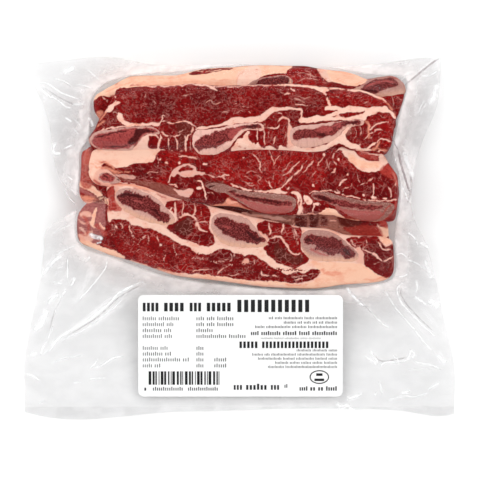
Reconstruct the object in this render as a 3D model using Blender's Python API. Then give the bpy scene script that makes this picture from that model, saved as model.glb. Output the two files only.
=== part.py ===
"""A clear vacuum pouch of flanken-cut beef short ribs, lying flat, with a paper label on its film.

The pouch is one closed solid of film and contents. Its top skin clings to the overlapping rib
slices, its under skin lies flat beneath them, and the two run out together as a thin border.
Lengths are in millimetres until a mesh is made. +X is the pouch's width, +Y points to its back.
"""

import math
from collections import namedtuple

import bmesh
import bpy
import numpy as np
from mathutils import Matrix

MM = 0.001

# Pouch
POUCH_WIDTH = 300.0
POUCH_DEPTH = 250.0
BORDER_THICKNESS = 1.0
BORDER_HEIGHT_AT_MEAT = 9.5
BORDER_HEIGHT_AT_EDGE = 1.6
BORDER_FALL = 62.0
BORDER_RIPPLE = 1.1
SEAL_WIDTH = 6.0

# How far each side of the pouch is drawn in from the plain rectangle: (place along the side, inset)
LEFT_INSET = ((-125, 0), (-83, 0), (-62, 4), (-34, 10), (-13, 13), (8, 18), (21, 39), (39, 25),
              (54, 20), (77, 17), (96, 11), (106, 6), (125, 5))
RIGHT_INSET = ((-125, 0), (-91, 0), (-55, 8), (-30, 13), (-2, 21), (10, 27), (47, 28), (64, 23),
               (91, 12), (125, 9))
FRONT_INSET = ((-150, 2), (-142, 0), (-41, 2.3), (113, 3), (146, 0), (150, 1))
BACK_INSET = ((-150, 4), (-83, 1), (-69, 4), (-6, 5), (102, 5), (141, 0), (150, 0))

# Meat
SLICE_THICKNESS = 10.5
SLICE_CORNER_POWER = 7
SLICE_EDGE_ROUND = 3.5
BONE_RISE = 1.3
PILE_CENTRE = (1.0, 40.0)
PILE_SIZE = (214.0, 148.0)
PILE_CORNER = 26.0
FOOT_INSET = 7.0
FOOT_FLARE = 13.0

# Label
LABEL_WIDTH = 143.0
LABEL_DEPTH = 71.5
LABEL_THICKNESS = 0.4
LABEL_CORNER = 4.0
LABEL_CENTRE = (0.7, -76.5)
LABEL_HEIGHT = 5.6
LABEL_SLOPE = 6.0
LABEL_MARGIN = 8.0
LABEL_CLEARANCE = 2.8
LABEL_GAP = 0.3

# Mesh
GRID_COLUMNS = 112
GRID_ROWS = 94
CLING_STEPS = 7
TRIANGLES = 6000
FOOT_CUT = 0.25

# A slice is a bowed strip. back and front are the heights of its top face at those edges, and
# bones are (place along the strip, place across it, length, breadth, turn in degrees).
Slice = namedtuple("Slice", "centre length widths turn bow back front bones")

SLICES = {
    "under_back": Slice((0, 92), 204, (34, 44, 36), 2, 2, 10, 10, ()),
    "under_middle": Slice((2, 52), 208, (42, 48, 42), -2, 0, 10.5, 10.5, ()),
    "under_front": Slice((-4, 8), 204, (42, 50, 40), -8, 0, 10.5, 9, ()),
    "back": Slice((7.5, 88), 217, (34, 42, 34), 2.1, 10, 15, 20,
                  ((20, 11, 44, 12, 0), (92, 10, 30, 13, 14))),
    "middle_left": Slice((-7, 47), 210, (42, 44, 40), -3, 0, 21, 21, ()),
    "front_left": Slice((-7, 13), 214, (38, 44, 38), -6, 0, 20, 17, ()),
    "top_back": Slice((3.5, 78.5), 211, (38, 45, 39), -0.8, 4.5, 26, 31,
                      ((-81, -12, 52, 14, 5), (-10, -15, 52, 17, 12), (58, -10, 54, 15, 8))),
    "top_middle": Slice((3.5, 40), 215, (26, 40, 43), -4.3, 0, 26, 30,
                        ((-82, -5, 50, 9, -16), (4, -13, 64, 13, -6), (77, -12, 60, 13, -6))),
    "top_front": Slice((8, -1.5), 203, (45, 48, 30), -7.7, -8.5, 27, 14,
                       ((-75, 12, 42, 18, -20), (-9, 12, 38, 18, -14), (55, 12, 40, 18, -6))),
}

# Folds that run from the meat out over the border: (start, end, breadth, height)
FOLDS = (
    ((-66, -30), (-132, -82), 4.0, 3.2), ((-92, -15), (-116, -50), 3.5, 2.4),
    ((-120, -13), (-121, -40), 3.5, 2.0), ((98, -33), (137, -82), 3.5, 2.8),
    ((111, -36), (139, -69), 3.5, 2.2), ((77, -36), (104, -63), 4.0, 2.0),
    ((122, -42), (142, -47), 4.0, 2.4), ((114, 62), (122, 34), 4.0, 2.6),
    ((119, 104), (136, 122), 4.0, 2.8), ((-104, 95), (-138, 108), 4.0, 3.0),
    ((-112, 87), (-134, 99), 3.5, 2.0), ((-106, 74), (-128, 88), 3.5, 1.8),
    ((-112, 58), (-131, 62), 4.0, 2.2), ((86, -80), (104, -92), 4.0, 1.8),
    ((106, -86), (138, -88), 4.5, 1.8),
)

COLOURS = {
    "pouch": ((0.42, 0.05, 0.05), 0.25),
    "label": ((0.92, 0.92, 0.91), 0.6),
}


def clear_scene():
    """Takes every object out of the scene."""
    for old in list(bpy.data.objects):
        bpy.data.objects.remove(old)


def material(name):
    """A plain finish from COLOURS."""
    colour, roughness = COLOURS[name]
    made = bpy.data.materials.new(name)
    made.use_nodes = True
    shader = made.node_tree.nodes["Principled BSDF"]
    shader.inputs["Base Color"].default_value = (*colour, 1)
    shader.inputs["Roughness"].default_value = roughness
    return made


def smooth_line(points, at):
    """Values of a smooth line through (place, value) points, by cubic pieces."""
    place, value = np.array(points, float).T
    slope = np.gradient(value, place)
    k = np.clip(np.searchsorted(place, at, side="right") - 1, 0, len(place) - 2)
    step = place[k + 1] - place[k]
    t = np.clip((at - place[k]) / step, 0, 1)
    rise = value[k + 1] - value[k]
    start, end = slope[k] * step, slope[k + 1] * step
    return value[k] + t * (start + t * (3 * rise - 2 * start - end + t * (start + end - 2 * rise)))


def ease(t):
    """0 below 0, 1 above 1, and smooth between them."""
    t = np.clip(t, 0, 1)
    return t * t * (3 - 2 * t)


def outside_box(x, y, centre, size, corner):
    """How far (x, y) lies outside a rectangle with round corners; below 0 inside it."""
    dx = np.abs(x - centre[0]) - size[0] / 2 + corner
    dy = np.abs(y - centre[1]) - size[1] / 2 + corner
    beyond = np.hypot(np.maximum(dx, 0), np.maximum(dy, 0))
    return beyond + np.minimum(np.maximum(dx, dy), 0) - corner


def in_strip(strip, x, y):
    """(x, y) as places along and across a slice, from its centre line."""
    turn = math.radians(strip.turn)
    dx, dy = x - strip.centre[0], y - strip.centre[1]
    along = dx * math.cos(turn) + dy * math.sin(turn)
    across = dy * math.cos(turn) - dx * math.sin(turn)
    share = 2 * along / strip.length
    return along, across - strip.bow * (1 - share**2), share


def bones_rise(strip, along, across):
    """The low rise of the rib bones in a slice's cut face."""
    rise = np.zeros_like(along)
    for place, offset, length, breadth, turn in strip.bones:
        c, s = math.cos(math.radians(turn)), math.sin(math.radians(turn))
        da, db = along - place, across - offset
        reach = np.hypot((da * c + db * s) / (length / 2), (db * c - da * s) / (breadth / 2))
        rise = np.maximum(rise, BONE_RISE * ease(1.5 * (1.25 - reach)))
    return rise


def slice_top(strip, x, y):
    """Height of a slice's top face, and minus infinity outside the slice."""
    along, across, share = in_strip(strip, x, y)
    left, middle, right = strip.widths
    width = middle + (right - left) / 2 * share + ((left + right) / 2 - middle) * share**2
    power = SLICE_CORNER_POWER
    half = width / 2 * np.maximum(1 - np.abs(share) ** power, 0) ** (1 / power)
    inward = np.minimum(half - np.abs(across), strip.length / 2 - np.abs(along))
    height = strip.front + (strip.back - strip.front) * (0.5 + across / width)
    drop = SLICE_EDGE_ROUND * (1 - np.sqrt(1 - (1 - ease(inward / SLICE_EDGE_ROUND)) ** 2))
    height = height + bones_rise(strip, along, across) - drop
    return np.where(inward > 0, height, -np.inf)


def folds_rise(x, y):
    """Height of the folds in the film border."""
    rise = np.zeros_like(x)
    for (x0, y0), (x1, y1), breadth, height in FOLDS:
        dx, dy = x1 - x0, y1 - y0
        share = ((x - x0) * dx + (y - y0) * dy) / (dx * dx + dy * dy)
        near = np.clip(share, 0, 1)
        away = np.hypot(x - x0 - near * dx, y - y0 - near * dy)
        crest = height * np.sqrt(np.maximum(1 - 0.8 * near, 0))
        rise = np.maximum(rise, crest * np.exp(-((away / breadth) ** 2)))
    return rise


def border_height(x, y):
    """Mid-height of the film border: high against the meat, low at the pouch's edge."""
    away = np.maximum(outside_box(x, y, PILE_CENTRE, PILE_SIZE, PILE_CORNER), 0)
    fall = np.exp(-((away / BORDER_FALL) ** 1.2) * 2)
    height = BORDER_HEIGHT_AT_EDGE + (BORDER_HEIGHT_AT_MEAT - BORDER_HEIGHT_AT_EDGE) * fall
    ripple = np.sin(x / 11.0 + 0.6) * np.cos(y / 17.0) + 0.6 * np.sin((x + 1.7 * y) / 15.0)
    seal = ease((y + POUCH_DEPTH / 2 - SEAL_WIDTH) / SEAL_WIDTH)
    height = height + (BORDER_RIPPLE * (1 + ripple) / 2 * (1 - fall) + folds_rise(x, y)) * seal
    height = pressed_flat(x, y, height, LABEL_MARGIN)
    return np.maximum(height, BORDER_THICKNESS / 2 + 0.4)


def pressed_flat(x, y, height, margin):
    """The film pressed level with the label's slope beneath it, and free beyond its margin."""
    beyond = outside_box(x, y, LABEL_CENTRE, (LABEL_WIDTH, LABEL_DEPTH), LABEL_CORNER)
    plane = LABEL_HEIGHT + math.tan(math.radians(LABEL_SLOPE)) * (y - LABEL_CENTRE[1])
    free = ease((beyond - LABEL_CLEARANCE) / margin)
    return plane * (1 - free) + height * free


def pile_height(x, y):
    """Height of the topmost slice at each point, and minus infinity off the meat."""
    return np.max([slice_top(strip, x, y) for strip in SLICES.values()], axis=0)


def cling(height, floor):
    """Draws the film over the meat: its hollows fill a little, and it never dips below it."""
    for _ in range(CLING_STEPS):
        mean = (height[:-2, 1:-1] + height[2:, 1:-1] + height[1:-1, :-2] + height[1:-1, 2:]) / 4
        height[1:-1, 1:-1] = np.maximum(floor[1:-1, 1:-1], mean)
    return height


def skin_places():
    """x and y of the skins' grid, fitted to the pouch's drawn-in outline."""
    u = np.linspace(-1, 1, GRID_COLUMNS + 1)
    v = np.linspace(-1, 1, GRID_ROWS + 1)
    across, up = np.meshgrid(u, v, indexing="ij")
    plain_x = across * POUCH_WIDTH / 2
    front = -POUCH_DEPTH / 2 + smooth_line(FRONT_INSET, plain_x)
    back = POUCH_DEPTH / 2 - smooth_line(BACK_INSET, plain_x)
    y = front + (back - front) * (up + 1) / 2
    left = -POUCH_WIDTH / 2 + smooth_line(LEFT_INSET, y)
    right = POUCH_WIDTH / 2 - smooth_line(RIGHT_INSET, y)
    return left + (right - left) * (across + 1) / 2, y


def skin_heights(x, y):
    """Heights of the top skin and of the under skin."""
    border = border_height(x, y)
    floor = np.maximum(pile_height(x, y), border + BORDER_THICKNESS / 2)
    edge = np.zeros(x.shape, bool)
    edge[0], edge[-1], edge[:, 0], edge[:, -1] = True, True, True, True
    floor = np.where(edge, border + BORDER_THICKNESS / 2, floor)
    top = cling(floor.copy(), floor) - BORDER_THICKNESS / 2
    top = pressed_flat(x, y, top, LABEL_CLEARANCE) + BORDER_THICKNESS / 2
    foot_size = [side - 2 * FOOT_INSET for side in PILE_SIZE]
    beyond = outside_box(x, y, PILE_CENTRE, foot_size, PILE_CORNER - FOOT_INSET)
    under = (border - BORDER_THICKNESS / 2 + FOOT_CUT) * ease(beyond / FOOT_FLARE) - FOOT_CUT
    return top, under


def skin_grid(mesh, heights, x, y):
    """Adds one skin to the mesh and returns its vertices as rows of the grid."""
    made = bmesh.ops.create_grid(mesh, x_segments=GRID_COLUMNS, y_segments=GRID_ROWS, size=0.5)
    order = sorted(made["verts"], key=lambda v: (round(v.co.x, 5), round(v.co.y, 5)))
    rows = np.array(order, object).reshape(x.shape)
    for vertex, px, py, pz in zip(rows.flat, x.flat, y.flat, heights.flat):
        vertex.co = (px * MM, py * MM, pz * MM)
    return rows


def ring_of(rows):
    """The vertices round a grid's rim, in order."""
    return [*rows[:-1, 0], *rows[-1, :-1], *rows[:0:-1, -1], *rows[0, :0:-1]]


def make_pouch():
    """The film and its contents as one solid, with its top skin, under skin and rim."""
    x, y = skin_places()
    top, under = skin_heights(x, y)
    mesh = bmesh.new()
    upper = ring_of(skin_grid(mesh, top, x, y))
    lower = ring_of(skin_grid(mesh, under, x, y))
    for k, vertex in enumerate(upper):
        mesh.faces.new((vertex, upper[k - 1], lower[k - 1], lower[k]))
    bmesh.ops.recalc_face_normals(mesh, faces=mesh.faces)
    pouch = add_object("pouch", mesh)
    simplify(pouch)
    flatten_foot(pouch)
    return pouch


def simplify(pouch):
    """Thins the mesh where the skins are smooth, keeping the relief."""
    thin = pouch.modifiers.new("thin", "DECIMATE")
    thin.ratio = TRIANGLES / (4 * GRID_COLUMNS * GRID_ROWS)
    thin.use_collapse_triangulate = True
    evaluated = pouch.evaluated_get(bpy.context.evaluated_depsgraph_get())
    thinned = bpy.data.meshes.new_from_object(evaluated)
    pouch.modifiers.clear()
    pouch.data = thinned


def flatten_foot(pouch):
    """Cuts the underside off level, so that the pouch stands on one flat face."""
    mesh = bmesh.new()
    mesh.from_mesh(pouch.data)
    everything = [*mesh.verts, *mesh.edges, *mesh.faces]
    cut = bmesh.ops.bisect_plane(
        mesh, geom=everything, plane_co=(0, 0, 0), plane_no=(0, 0, -1), clear_outer=True)
    rim = [g for g in cut["geom_cut"] if isinstance(g, bmesh.types.BMEdge)]
    bmesh.ops.contextual_create(mesh, geom=rim)
    bmesh.ops.recalc_face_normals(mesh, faces=mesh.faces)
    mesh.to_mesh(pouch.data)
    mesh.free()


def make_label():
    """The paper label: a plate with round corners that lies along the slope of the film."""
    mesh = bmesh.new()
    bmesh.ops.create_grid(mesh, x_segments=1, y_segments=1, size=0.5 * MM)
    bmesh.ops.scale(mesh, vec=(LABEL_WIDTH, LABEL_DEPTH, 1), verts=mesh.verts)
    bmesh.ops.bevel(mesh, geom=list(mesh.verts), offset=LABEL_CORNER * MM, affect="VERTICES",
                    segments=6, profile=0.5, material=-1)
    sheet = bmesh.ops.extrude_face_region(mesh, geom=list(mesh.faces))
    raised = [g for g in sheet["geom"] if isinstance(g, bmesh.types.BMVert)]
    bmesh.ops.translate(mesh, vec=(0, 0, LABEL_THICKNESS * MM), verts=raised)
    bmesh.ops.recalc_face_normals(mesh, faces=mesh.faces)
    label = add_object("label", mesh)
    height = LABEL_HEIGHT + BORDER_THICKNESS / 2 + LABEL_GAP
    label.location = (LABEL_CENTRE[0] * MM, LABEL_CENTRE[1] * MM, height * MM)
    label.rotation_euler = (math.radians(LABEL_SLOPE), 0, 0)
    return label


def add_object(name, mesh):
    """Puts a finished mesh in the scene as a named object with its own finish."""
    data = bpy.data.meshes.new(name)
    mesh.to_mesh(data)
    mesh.free()
    made = bpy.data.objects.new(name, data)
    made.data.materials.append(material(name))
    bpy.context.scene.collection.objects.link(made)
    bpy.context.view_layer.update()
    return made


def centre_on_pouch(pouch, label):
    """Moves both so that the origin is under the middle of the pouch's own box."""
    places = np.array([v.co for v in pouch.data.vertices])
    middle = (places.min(0) + places.max(0)) / 2
    pouch.data.transform(Matrix.Translation((-middle[0], -middle[1], 0)))
    label.location.x -= middle[0]
    label.location.y -= middle[1]


def main():
    clear_scene()
    centre_on_pouch(make_pouch(), make_label())


main()
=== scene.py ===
"""The looks of a clear vacuum pouch of flanken-cut beef short ribs, with a paper label on its film.

Places and lengths are in millimetres in the pouch's own plan, seen from above: x runs across the pouch
and y towards its back. They are turned into metres where a mesh is finished. Heights come from the
packed pouch, so that the meat and the film keep its form.
"""

import math
from collections import namedtuple
from functools import partial

import bmesh
import bpy
import numpy as np
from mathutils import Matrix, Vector
from mathutils.bvhtree import BVHTree


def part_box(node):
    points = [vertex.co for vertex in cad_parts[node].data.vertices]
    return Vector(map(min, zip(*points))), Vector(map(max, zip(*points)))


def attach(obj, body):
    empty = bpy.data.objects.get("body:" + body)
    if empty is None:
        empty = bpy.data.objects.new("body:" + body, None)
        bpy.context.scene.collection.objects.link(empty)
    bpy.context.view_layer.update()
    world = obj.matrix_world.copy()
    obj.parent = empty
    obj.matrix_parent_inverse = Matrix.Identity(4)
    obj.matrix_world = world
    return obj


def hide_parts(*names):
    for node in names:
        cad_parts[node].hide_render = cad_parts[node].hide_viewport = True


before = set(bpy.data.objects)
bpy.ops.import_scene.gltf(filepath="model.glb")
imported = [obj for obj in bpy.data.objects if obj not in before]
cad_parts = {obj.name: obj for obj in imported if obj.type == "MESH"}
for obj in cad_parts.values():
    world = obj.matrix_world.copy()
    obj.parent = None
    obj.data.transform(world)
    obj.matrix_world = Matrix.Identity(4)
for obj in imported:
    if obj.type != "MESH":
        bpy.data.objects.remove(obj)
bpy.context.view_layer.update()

MM = 0.001

# Pouch
POUCH_WIDTH = 300.0
POUCH_DEPTH = 250.0
FILM_STEP = 0.97
UNDER_STEP = 1.6
FILM_GAP = 0.35
SPARE_GAP = 0.2
FILM_INSET = 0.996
FILM_LOWEST = 0.02
TOP_HAZE = 0.038
UNDER_HAZE = 0.028
FOLD_LIFT = 0.15
FOLD_HEIGHT_LIMIT = 1.3
LEFT_INSET = ((-125, 0), (-83, 0), (-62, 4), (-34, 10), (-13, 13), (8, 18), (21, 39), (39, 25),
              (54, 20), (77, 17), (96, 11), (106, 6), (125, 5))
RIGHT_INSET = ((-125, 0), (-91, 0), (-55, 8), (-30, 13), (-2, 21), (10, 27), (47, 28), (64, 23),
               (91, 12), (125, 9))
FRONT_INSET = ((-150, 2), (-142, 0), (-41, 2.3), (113, 3), (146, 0), (150, 1))
BACK_INSET = ((-150, 4), (-83, 1), (-69, 4), (-6, 5), (102, 5), (141, 0), (150, 0))
SEAL_FRONT = (-118.8, -97.0)

# Label
LABEL_CENTRE = (0.7, -76.5)
LABEL_SIZE = (143.0, 71.5)
LABEL_THICKNESS = 0.4
LABEL_SLOPE = math.tan(math.radians(6))
PRINT_LIFT = 0.06
PRINT_THICKNESS = 0.05

# Meat
SLICE_STEP = 0.44
HIDDEN_STEP = 0.8
LEAN_SPREAD = 0.5
MARK_EDGE = 0.42
BONE_STEP = 0.4
EDGE_ROUND = 2.2
BONE_DEPTH = 2.5
BONE_LIFT = 0.25
PILE_SCALE = 0.991

# Camera
CAMERA_DISTANCE = 3.2
FRAME_WIDTH = 336.0
FRAME_MIDDLE = (0.35, -2.6)

Mark = namedtuple("Mark", "kind width points")
Strewn = namedtuple("Strewn", "area count length width turn spread")
Slab = namedtuple("Slab", "outline centre slope level thickness step tone veins marks strewn")
Bone = namedtuple("Bone", "outline marrow ring cream light spikes marks")
Fold = namedtuple("Fold", "width shine points")


def pairs(places):
    """(x, y) pairs from a flat row of numbers."""
    return np.array(places, float).reshape(-1, 2)


def mark(kind, width, *places):
    """A stroke of a width along places, or an area within them where the width is 0."""
    return Mark(kind, width, pairs(places))


MARK_KINDS = (
    "fat", "pale", "seam", "vein", "lean", "cream", "tallow", "salmon", "bloody", "blood", "orange", "mauve",
    "blush", "grey", "beige", "brown", "dark", "bright", "pink")
(fat, pale, seam, vein, lean, cream, tallow, salmon, bloody, blood, orange, mauve,
 blush, grey, beige, brown, dark, bright, pink) = (partial(mark, kind) for kind in MARK_KINDS)


def strewn(count, length, width, turn, spread, *area):
    """Short strokes of fat of about a length, turned by about an angle in degrees, over an area."""
    return Strewn(pairs(area), count, length, width, turn, spread)


def fold(width, shine, *places):
    """A fold of the film along places. Where shine is above 0, its ribbon carries a painted highlight (in
    FOLDS) or painted shade (in SHADES), and shine also sets how high the fold stands.
    """
    return Fold(width, shine, pairs(places))


# Fields and curves

def ease(t):
    """0 below 0, 1 above 1, and smooth between them."""
    t = np.clip(t, 0, 1)
    return t * t * (3 - 2 * t)


def grain(x, y, size, seed, octaves=3):
    """A smooth random field of about -1 to 1, whose largest features are about size across."""
    chance = np.random.default_rng(seed)
    total = np.zeros(np.shape(x))
    weight = 1.0
    for octave in range(octaves):
        lattice = chance.uniform(-1, 1, (128, 128))
        turn = 0.7 * octave + 0.3
        u = (x * math.cos(turn) - y * math.sin(turn)) / size + 64.3
        v = (x * math.sin(turn) + y * math.cos(turn)) / size + 64.7
        i, j = np.floor(u).astype(int), np.floor(v).astype(int)
        s, t = ease(u - i), ease(v - j)
        i0, i1, j0, j1 = i % 128, (i + 1) % 128, j % 128, (j + 1) % 128
        low = lattice[i0, j0] * (1 - s) + lattice[i1, j0] * s
        high = lattice[i0, j1] * (1 - s) + lattice[i1, j1] * s
        total += weight * (low * (1 - t) + high * t)
        size, weight = size / 2.03, weight * 0.5
    return total


def smooth_line(points, at):
    """Values of a smooth line through (place, value) points, by cubic pieces."""
    place, value = np.array(points, float).T
    slope = np.gradient(value, place)
    k = np.clip(np.searchsorted(place, at, side="right") - 1, 0, len(place) - 2)
    step = place[k + 1] - place[k]
    t = np.clip((at - place[k]) / step, 0, 1)
    rise = value[k + 1] - value[k]
    start, end = slope[k] * step, slope[k + 1] * step
    return value[k] + t * (start + t * (3 * rise - 2 * start - end + t * (start + end - 2 * rise)))


def curve(points, closed=False, step=1.2):
    """A smooth curve through points, as close places along it."""
    p = pairs(points)
    if closed:
        p = np.vstack((p[-1], p, p[0], p[1]))
    else:
        p = np.vstack((2 * p[0] - p[1], p, 2 * p[-1] - p[-2]))
    made = []
    for a, b, c, d in zip(p[:-3], p[1:-2], p[2:-1], p[3:]):
        count = max(2, int(np.hypot(*(c - b)) / step) + 1)
        t = np.arange(count)[:, None] / count
        made.append(b + 0.5 * t * (c - a + t * (2 * a - 5 * b + 4 * c - d + t * (3 * b - a - 3 * c + d))))
    if not closed:
        made.append(p[-2:-1])
    return np.vstack(made)


def length_of(line):
    """Length of a row of places."""
    return np.hypot(*(line[1:] - line[:-1]).T).sum()


class Cloud:
    """Places in plan, sorted so that those near a line are found quickly."""

    def __init__(self, x, y):
        self.x = x
        self.y = y
        self.order = np.argsort(x)
        self.ranked = x[self.order]

    def near(self, low, high):
        """Which places lie within a rectangle."""
        start, end = np.searchsorted(self.ranked, (low[0], high[0]))
        found = self.order[start:end]
        y = self.y[found]
        return found[(y > low[1]) & (y < high[1])]

    def away_from(self, line, limit, closed=False):
        """Distance to a line where it is below a limit, and the share along the line."""
        starts = line if closed else line[:-1]
        ends = np.roll(line, -1, axis=0)[:len(starts)]
        away = np.full(len(self.x), float(limit))
        along = np.zeros(len(self.x))
        for k, (start, end) in enumerate(zip(starts, ends)):
            found = self.near(np.minimum(start, end) - limit, np.maximum(start, end) + limit)
            dx, dy = self.x[found] - start[0], self.y[found] - start[1]
            run = end - start
            t = np.clip((dx * run[0] + dy * run[1]) / max(run @ run, 1e-9), 0, 1)
            reach = np.hypot(dx - t * run[0], dy - t * run[1])
            closer = reach < away[found]
            away[found[closer]] = reach[closer]
            along[found[closer]] = (k + t[closer]) / len(starts)
        return away, along

    def inside(self, ring):
        """True for the places within a closed curve."""
        made = np.zeros(len(self.x), bool)
        found = self.near(ring.min(0), ring.max(0))
        x, y = self.x[found], self.y[found]
        within = np.zeros(len(found), bool)
        for (x0, y0), (x1, y1) in zip(ring, np.roll(ring, -1, axis=0)):
            if y0 != y1:
                within ^= ((y0 > y) != (y1 > y)) & (x < (x1 - x0) * (y - y0) / (y1 - y0) + x0)
        made[found] = within
        return made

    def reach(self, ring, limit):
        """Distance to a closed curve up to a limit, above 0 inside it and below 0 outside."""
        away = self.away_from(ring, limit, closed=True)[0]
        return np.where(self.inside(ring), away, -away)

    def cover(self, item, soft):
        """How far a mark covers each place, from 0 to 1."""
        if not item.width:
            ring = curve(item.points, closed=True)
            grown = LEAN_SPREAD * (item.kind == "lean")
            return ease((self.reach(ring, 2 * soft + 1) + grown) / (2 * soft) + 0.5)
        away, along = self.away_from(curve(item.points), item.width + 2 * soft)
        taper = 0.85 * np.clip(np.minimum(along, 1 - along) * 7, 0.25, 1) ** 0.5
        return ease((item.width / 2 * taper - away) / (2 * soft) + 0.5) * (away < item.width + 2 * soft)

    def strew(self, kind, seed):
        """How far short wavy strokes, strewn over an area, cover each place, from 0 to 1."""
        chance = np.random.default_rng(seed)
        ring = curve(kind.area, closed=True, step=4)
        starts = chance.uniform(ring.min(0), ring.max(0), (kind.count, 2))
        starts = starts[Cloud(*starts.T).inside(ring)]
        made = np.zeros(len(self.x))
        steps = np.linspace(-0.5, 0.5, 5)
        for place in starts:
            length = kind.length * chance.uniform(0.4, 1.6)
            angle = math.radians(kind.turn + kind.spread * chance.normal()) + chance.normal() * 1.1 * steps
            line = place + np.cumsum(np.stack((np.cos(angle), np.sin(angle)), 1) * length / 4, axis=0)
            half = kind.width * chance.uniform(0.35, 0.65)
            strength = chance.uniform(0.35, 1.0)
            found = self.near(line.min(0) - half - 0.4, line.max(0) + half + 0.4)
            if len(found):
                near = Cloud(self.x[found], self.y[found])
                away = near.away_from(line, half + 0.4)[0]
                made[found] = np.maximum(made[found], strength * ease((half + 0.15 - away) / 0.42))
        return made


def nearest_on(x, y, line):
    """The share along a closed line, and the nearest place on it, for each (x, y)."""
    run = np.roll(line, -1, axis=0) - line
    dx, dy = x[:, None] - line[:, 0], y[:, None] - line[:, 1]
    t = np.clip((dx * run[:, 0] + dy * run[:, 1]) / np.maximum((run**2).sum(1), 1e-9), 0, 1)
    ex, ey = dx - t * run[:, 0], dy - t * run[:, 1]
    best = (ex * ex + ey * ey).argmin(1)
    row = np.arange(len(best))
    return (best + t[row, best]) / len(run), np.stack((x - ex[row, best], y - ey[row, best]), 1)


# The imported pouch's skins

class Skins:
    """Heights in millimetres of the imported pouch's top and under skins, read at any place in plan."""

    def __init__(self, pouch, shift):
        self.shift = shift
        self.tree = BVHTree.FromPolygons(
            [v.co for v in pouch.data.vertices], [p.vertices for p in pouch.data.polygons])
        self.x = np.arange(-153, 154, 1.0)
        self.y = np.arange(-129, 130, 1.0)
        self.top = self.sample(0.2, -1)
        self.under = self.sample(-0.2, 1)

    def sample(self, start, way):
        """A table of the heights where upright rays first meet the pouch."""
        heights = np.full((len(self.x), len(self.y)), np.nan)
        ray = Vector((0, 0, way))
        for i, px in enumerate(self.x):
            for j, py in enumerate(self.y):
                hit = self.tree.ray_cast(Vector((px * MM, py * MM, start)), ray)[0]
                if hit:
                    heights[i, j] = hit.z / MM
        return self.spread(heights)

    def spread(self, heights):
        """Carries the heights at the pouch's rim on outwards."""
        while np.isnan(heights).any():
            wide = np.pad(heights, 1, constant_values=np.nan)
            around = np.stack((wide[:-2, 1:-1], wide[2:, 1:-1], wide[1:-1, :-2], wide[1:-1, 2:]))
            known = ~np.isnan(around)
            mean = np.where(known, around, 0).sum(0) / np.maximum(known.sum(0), 1)
            fill = np.isnan(heights) & known.any(0)
            heights = np.where(fill, mean, heights)
        return heights

    def read(self, table, x, y):
        """Heights between the table's places."""
        u = np.clip(x + self.shift[0] - self.x[0], 0, len(self.x) - 1.001)
        v = np.clip(y + self.shift[1] - self.y[0], 0, len(self.y) - 1.001)
        i, j = u.astype(int), v.astype(int)
        s, t = u - i, v - j
        low = table[i, j] * (1 - s) + table[i + 1, j] * s
        high = table[i, j + 1] * (1 - s) + table[i + 1, j + 1] * s
        return low * (1 - t) + high * t

    def top_at(self, x, y):
        return self.read(self.top, x, y)

    def under_at(self, x, y):
        return self.read(self.under, x, y)


def label_shift():
    """From this script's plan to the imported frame, read from the label's place."""
    low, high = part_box("label")
    middle = (low + high) / 2 / MM
    return middle.x - LABEL_CENTRE[0], middle.y - LABEL_CENTRE[1]


SHIFT = label_shift()
SKINS = Skins(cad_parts["pouch"], SHIFT)


# Node maths

class Value:
    """What a node gives: a number, colour or vector. Arithmetic on it adds Math nodes."""

    def __init__(self, nodes, socket):
        self.nodes = nodes
        self.socket = socket

    def maths(self, operation, *values):
        return self.nodes.add("Math", {"operation": operation}, dict(enumerate(values)))

    def __add__(self, other):
        return self.maths("ADD", self, other)

    def __radd__(self, other):
        return self.maths("ADD", other, self)

    def __sub__(self, other):
        return self.maths("SUBTRACT", self, other)

    def __rsub__(self, other):
        return self.maths("SUBTRACT", other, self)

    def __mul__(self, other):
        return self.maths("MULTIPLY", self, other)

    def __rmul__(self, other):
        return self.maths("MULTIPLY", other, self)

    def __truediv__(self, other):
        return self.maths("DIVIDE", self, other)

    def at_least(self, other):
        return self.maths("MAXIMUM", self, other)

    def at_most(self, other):
        return self.maths("MINIMUM", self, other)

    def eased(self, low, high, to_low=0.0, to_high=1.0):
        """Smoothly from to_low to to_high as this goes from low to high."""
        return self.nodes.add("MapRange", {"interpolation_type": "SMOOTHSTEP"}, {
            "Value": self, "From Min": low, "From Max": high, "To Min": to_low, "To Max": to_high})


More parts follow.
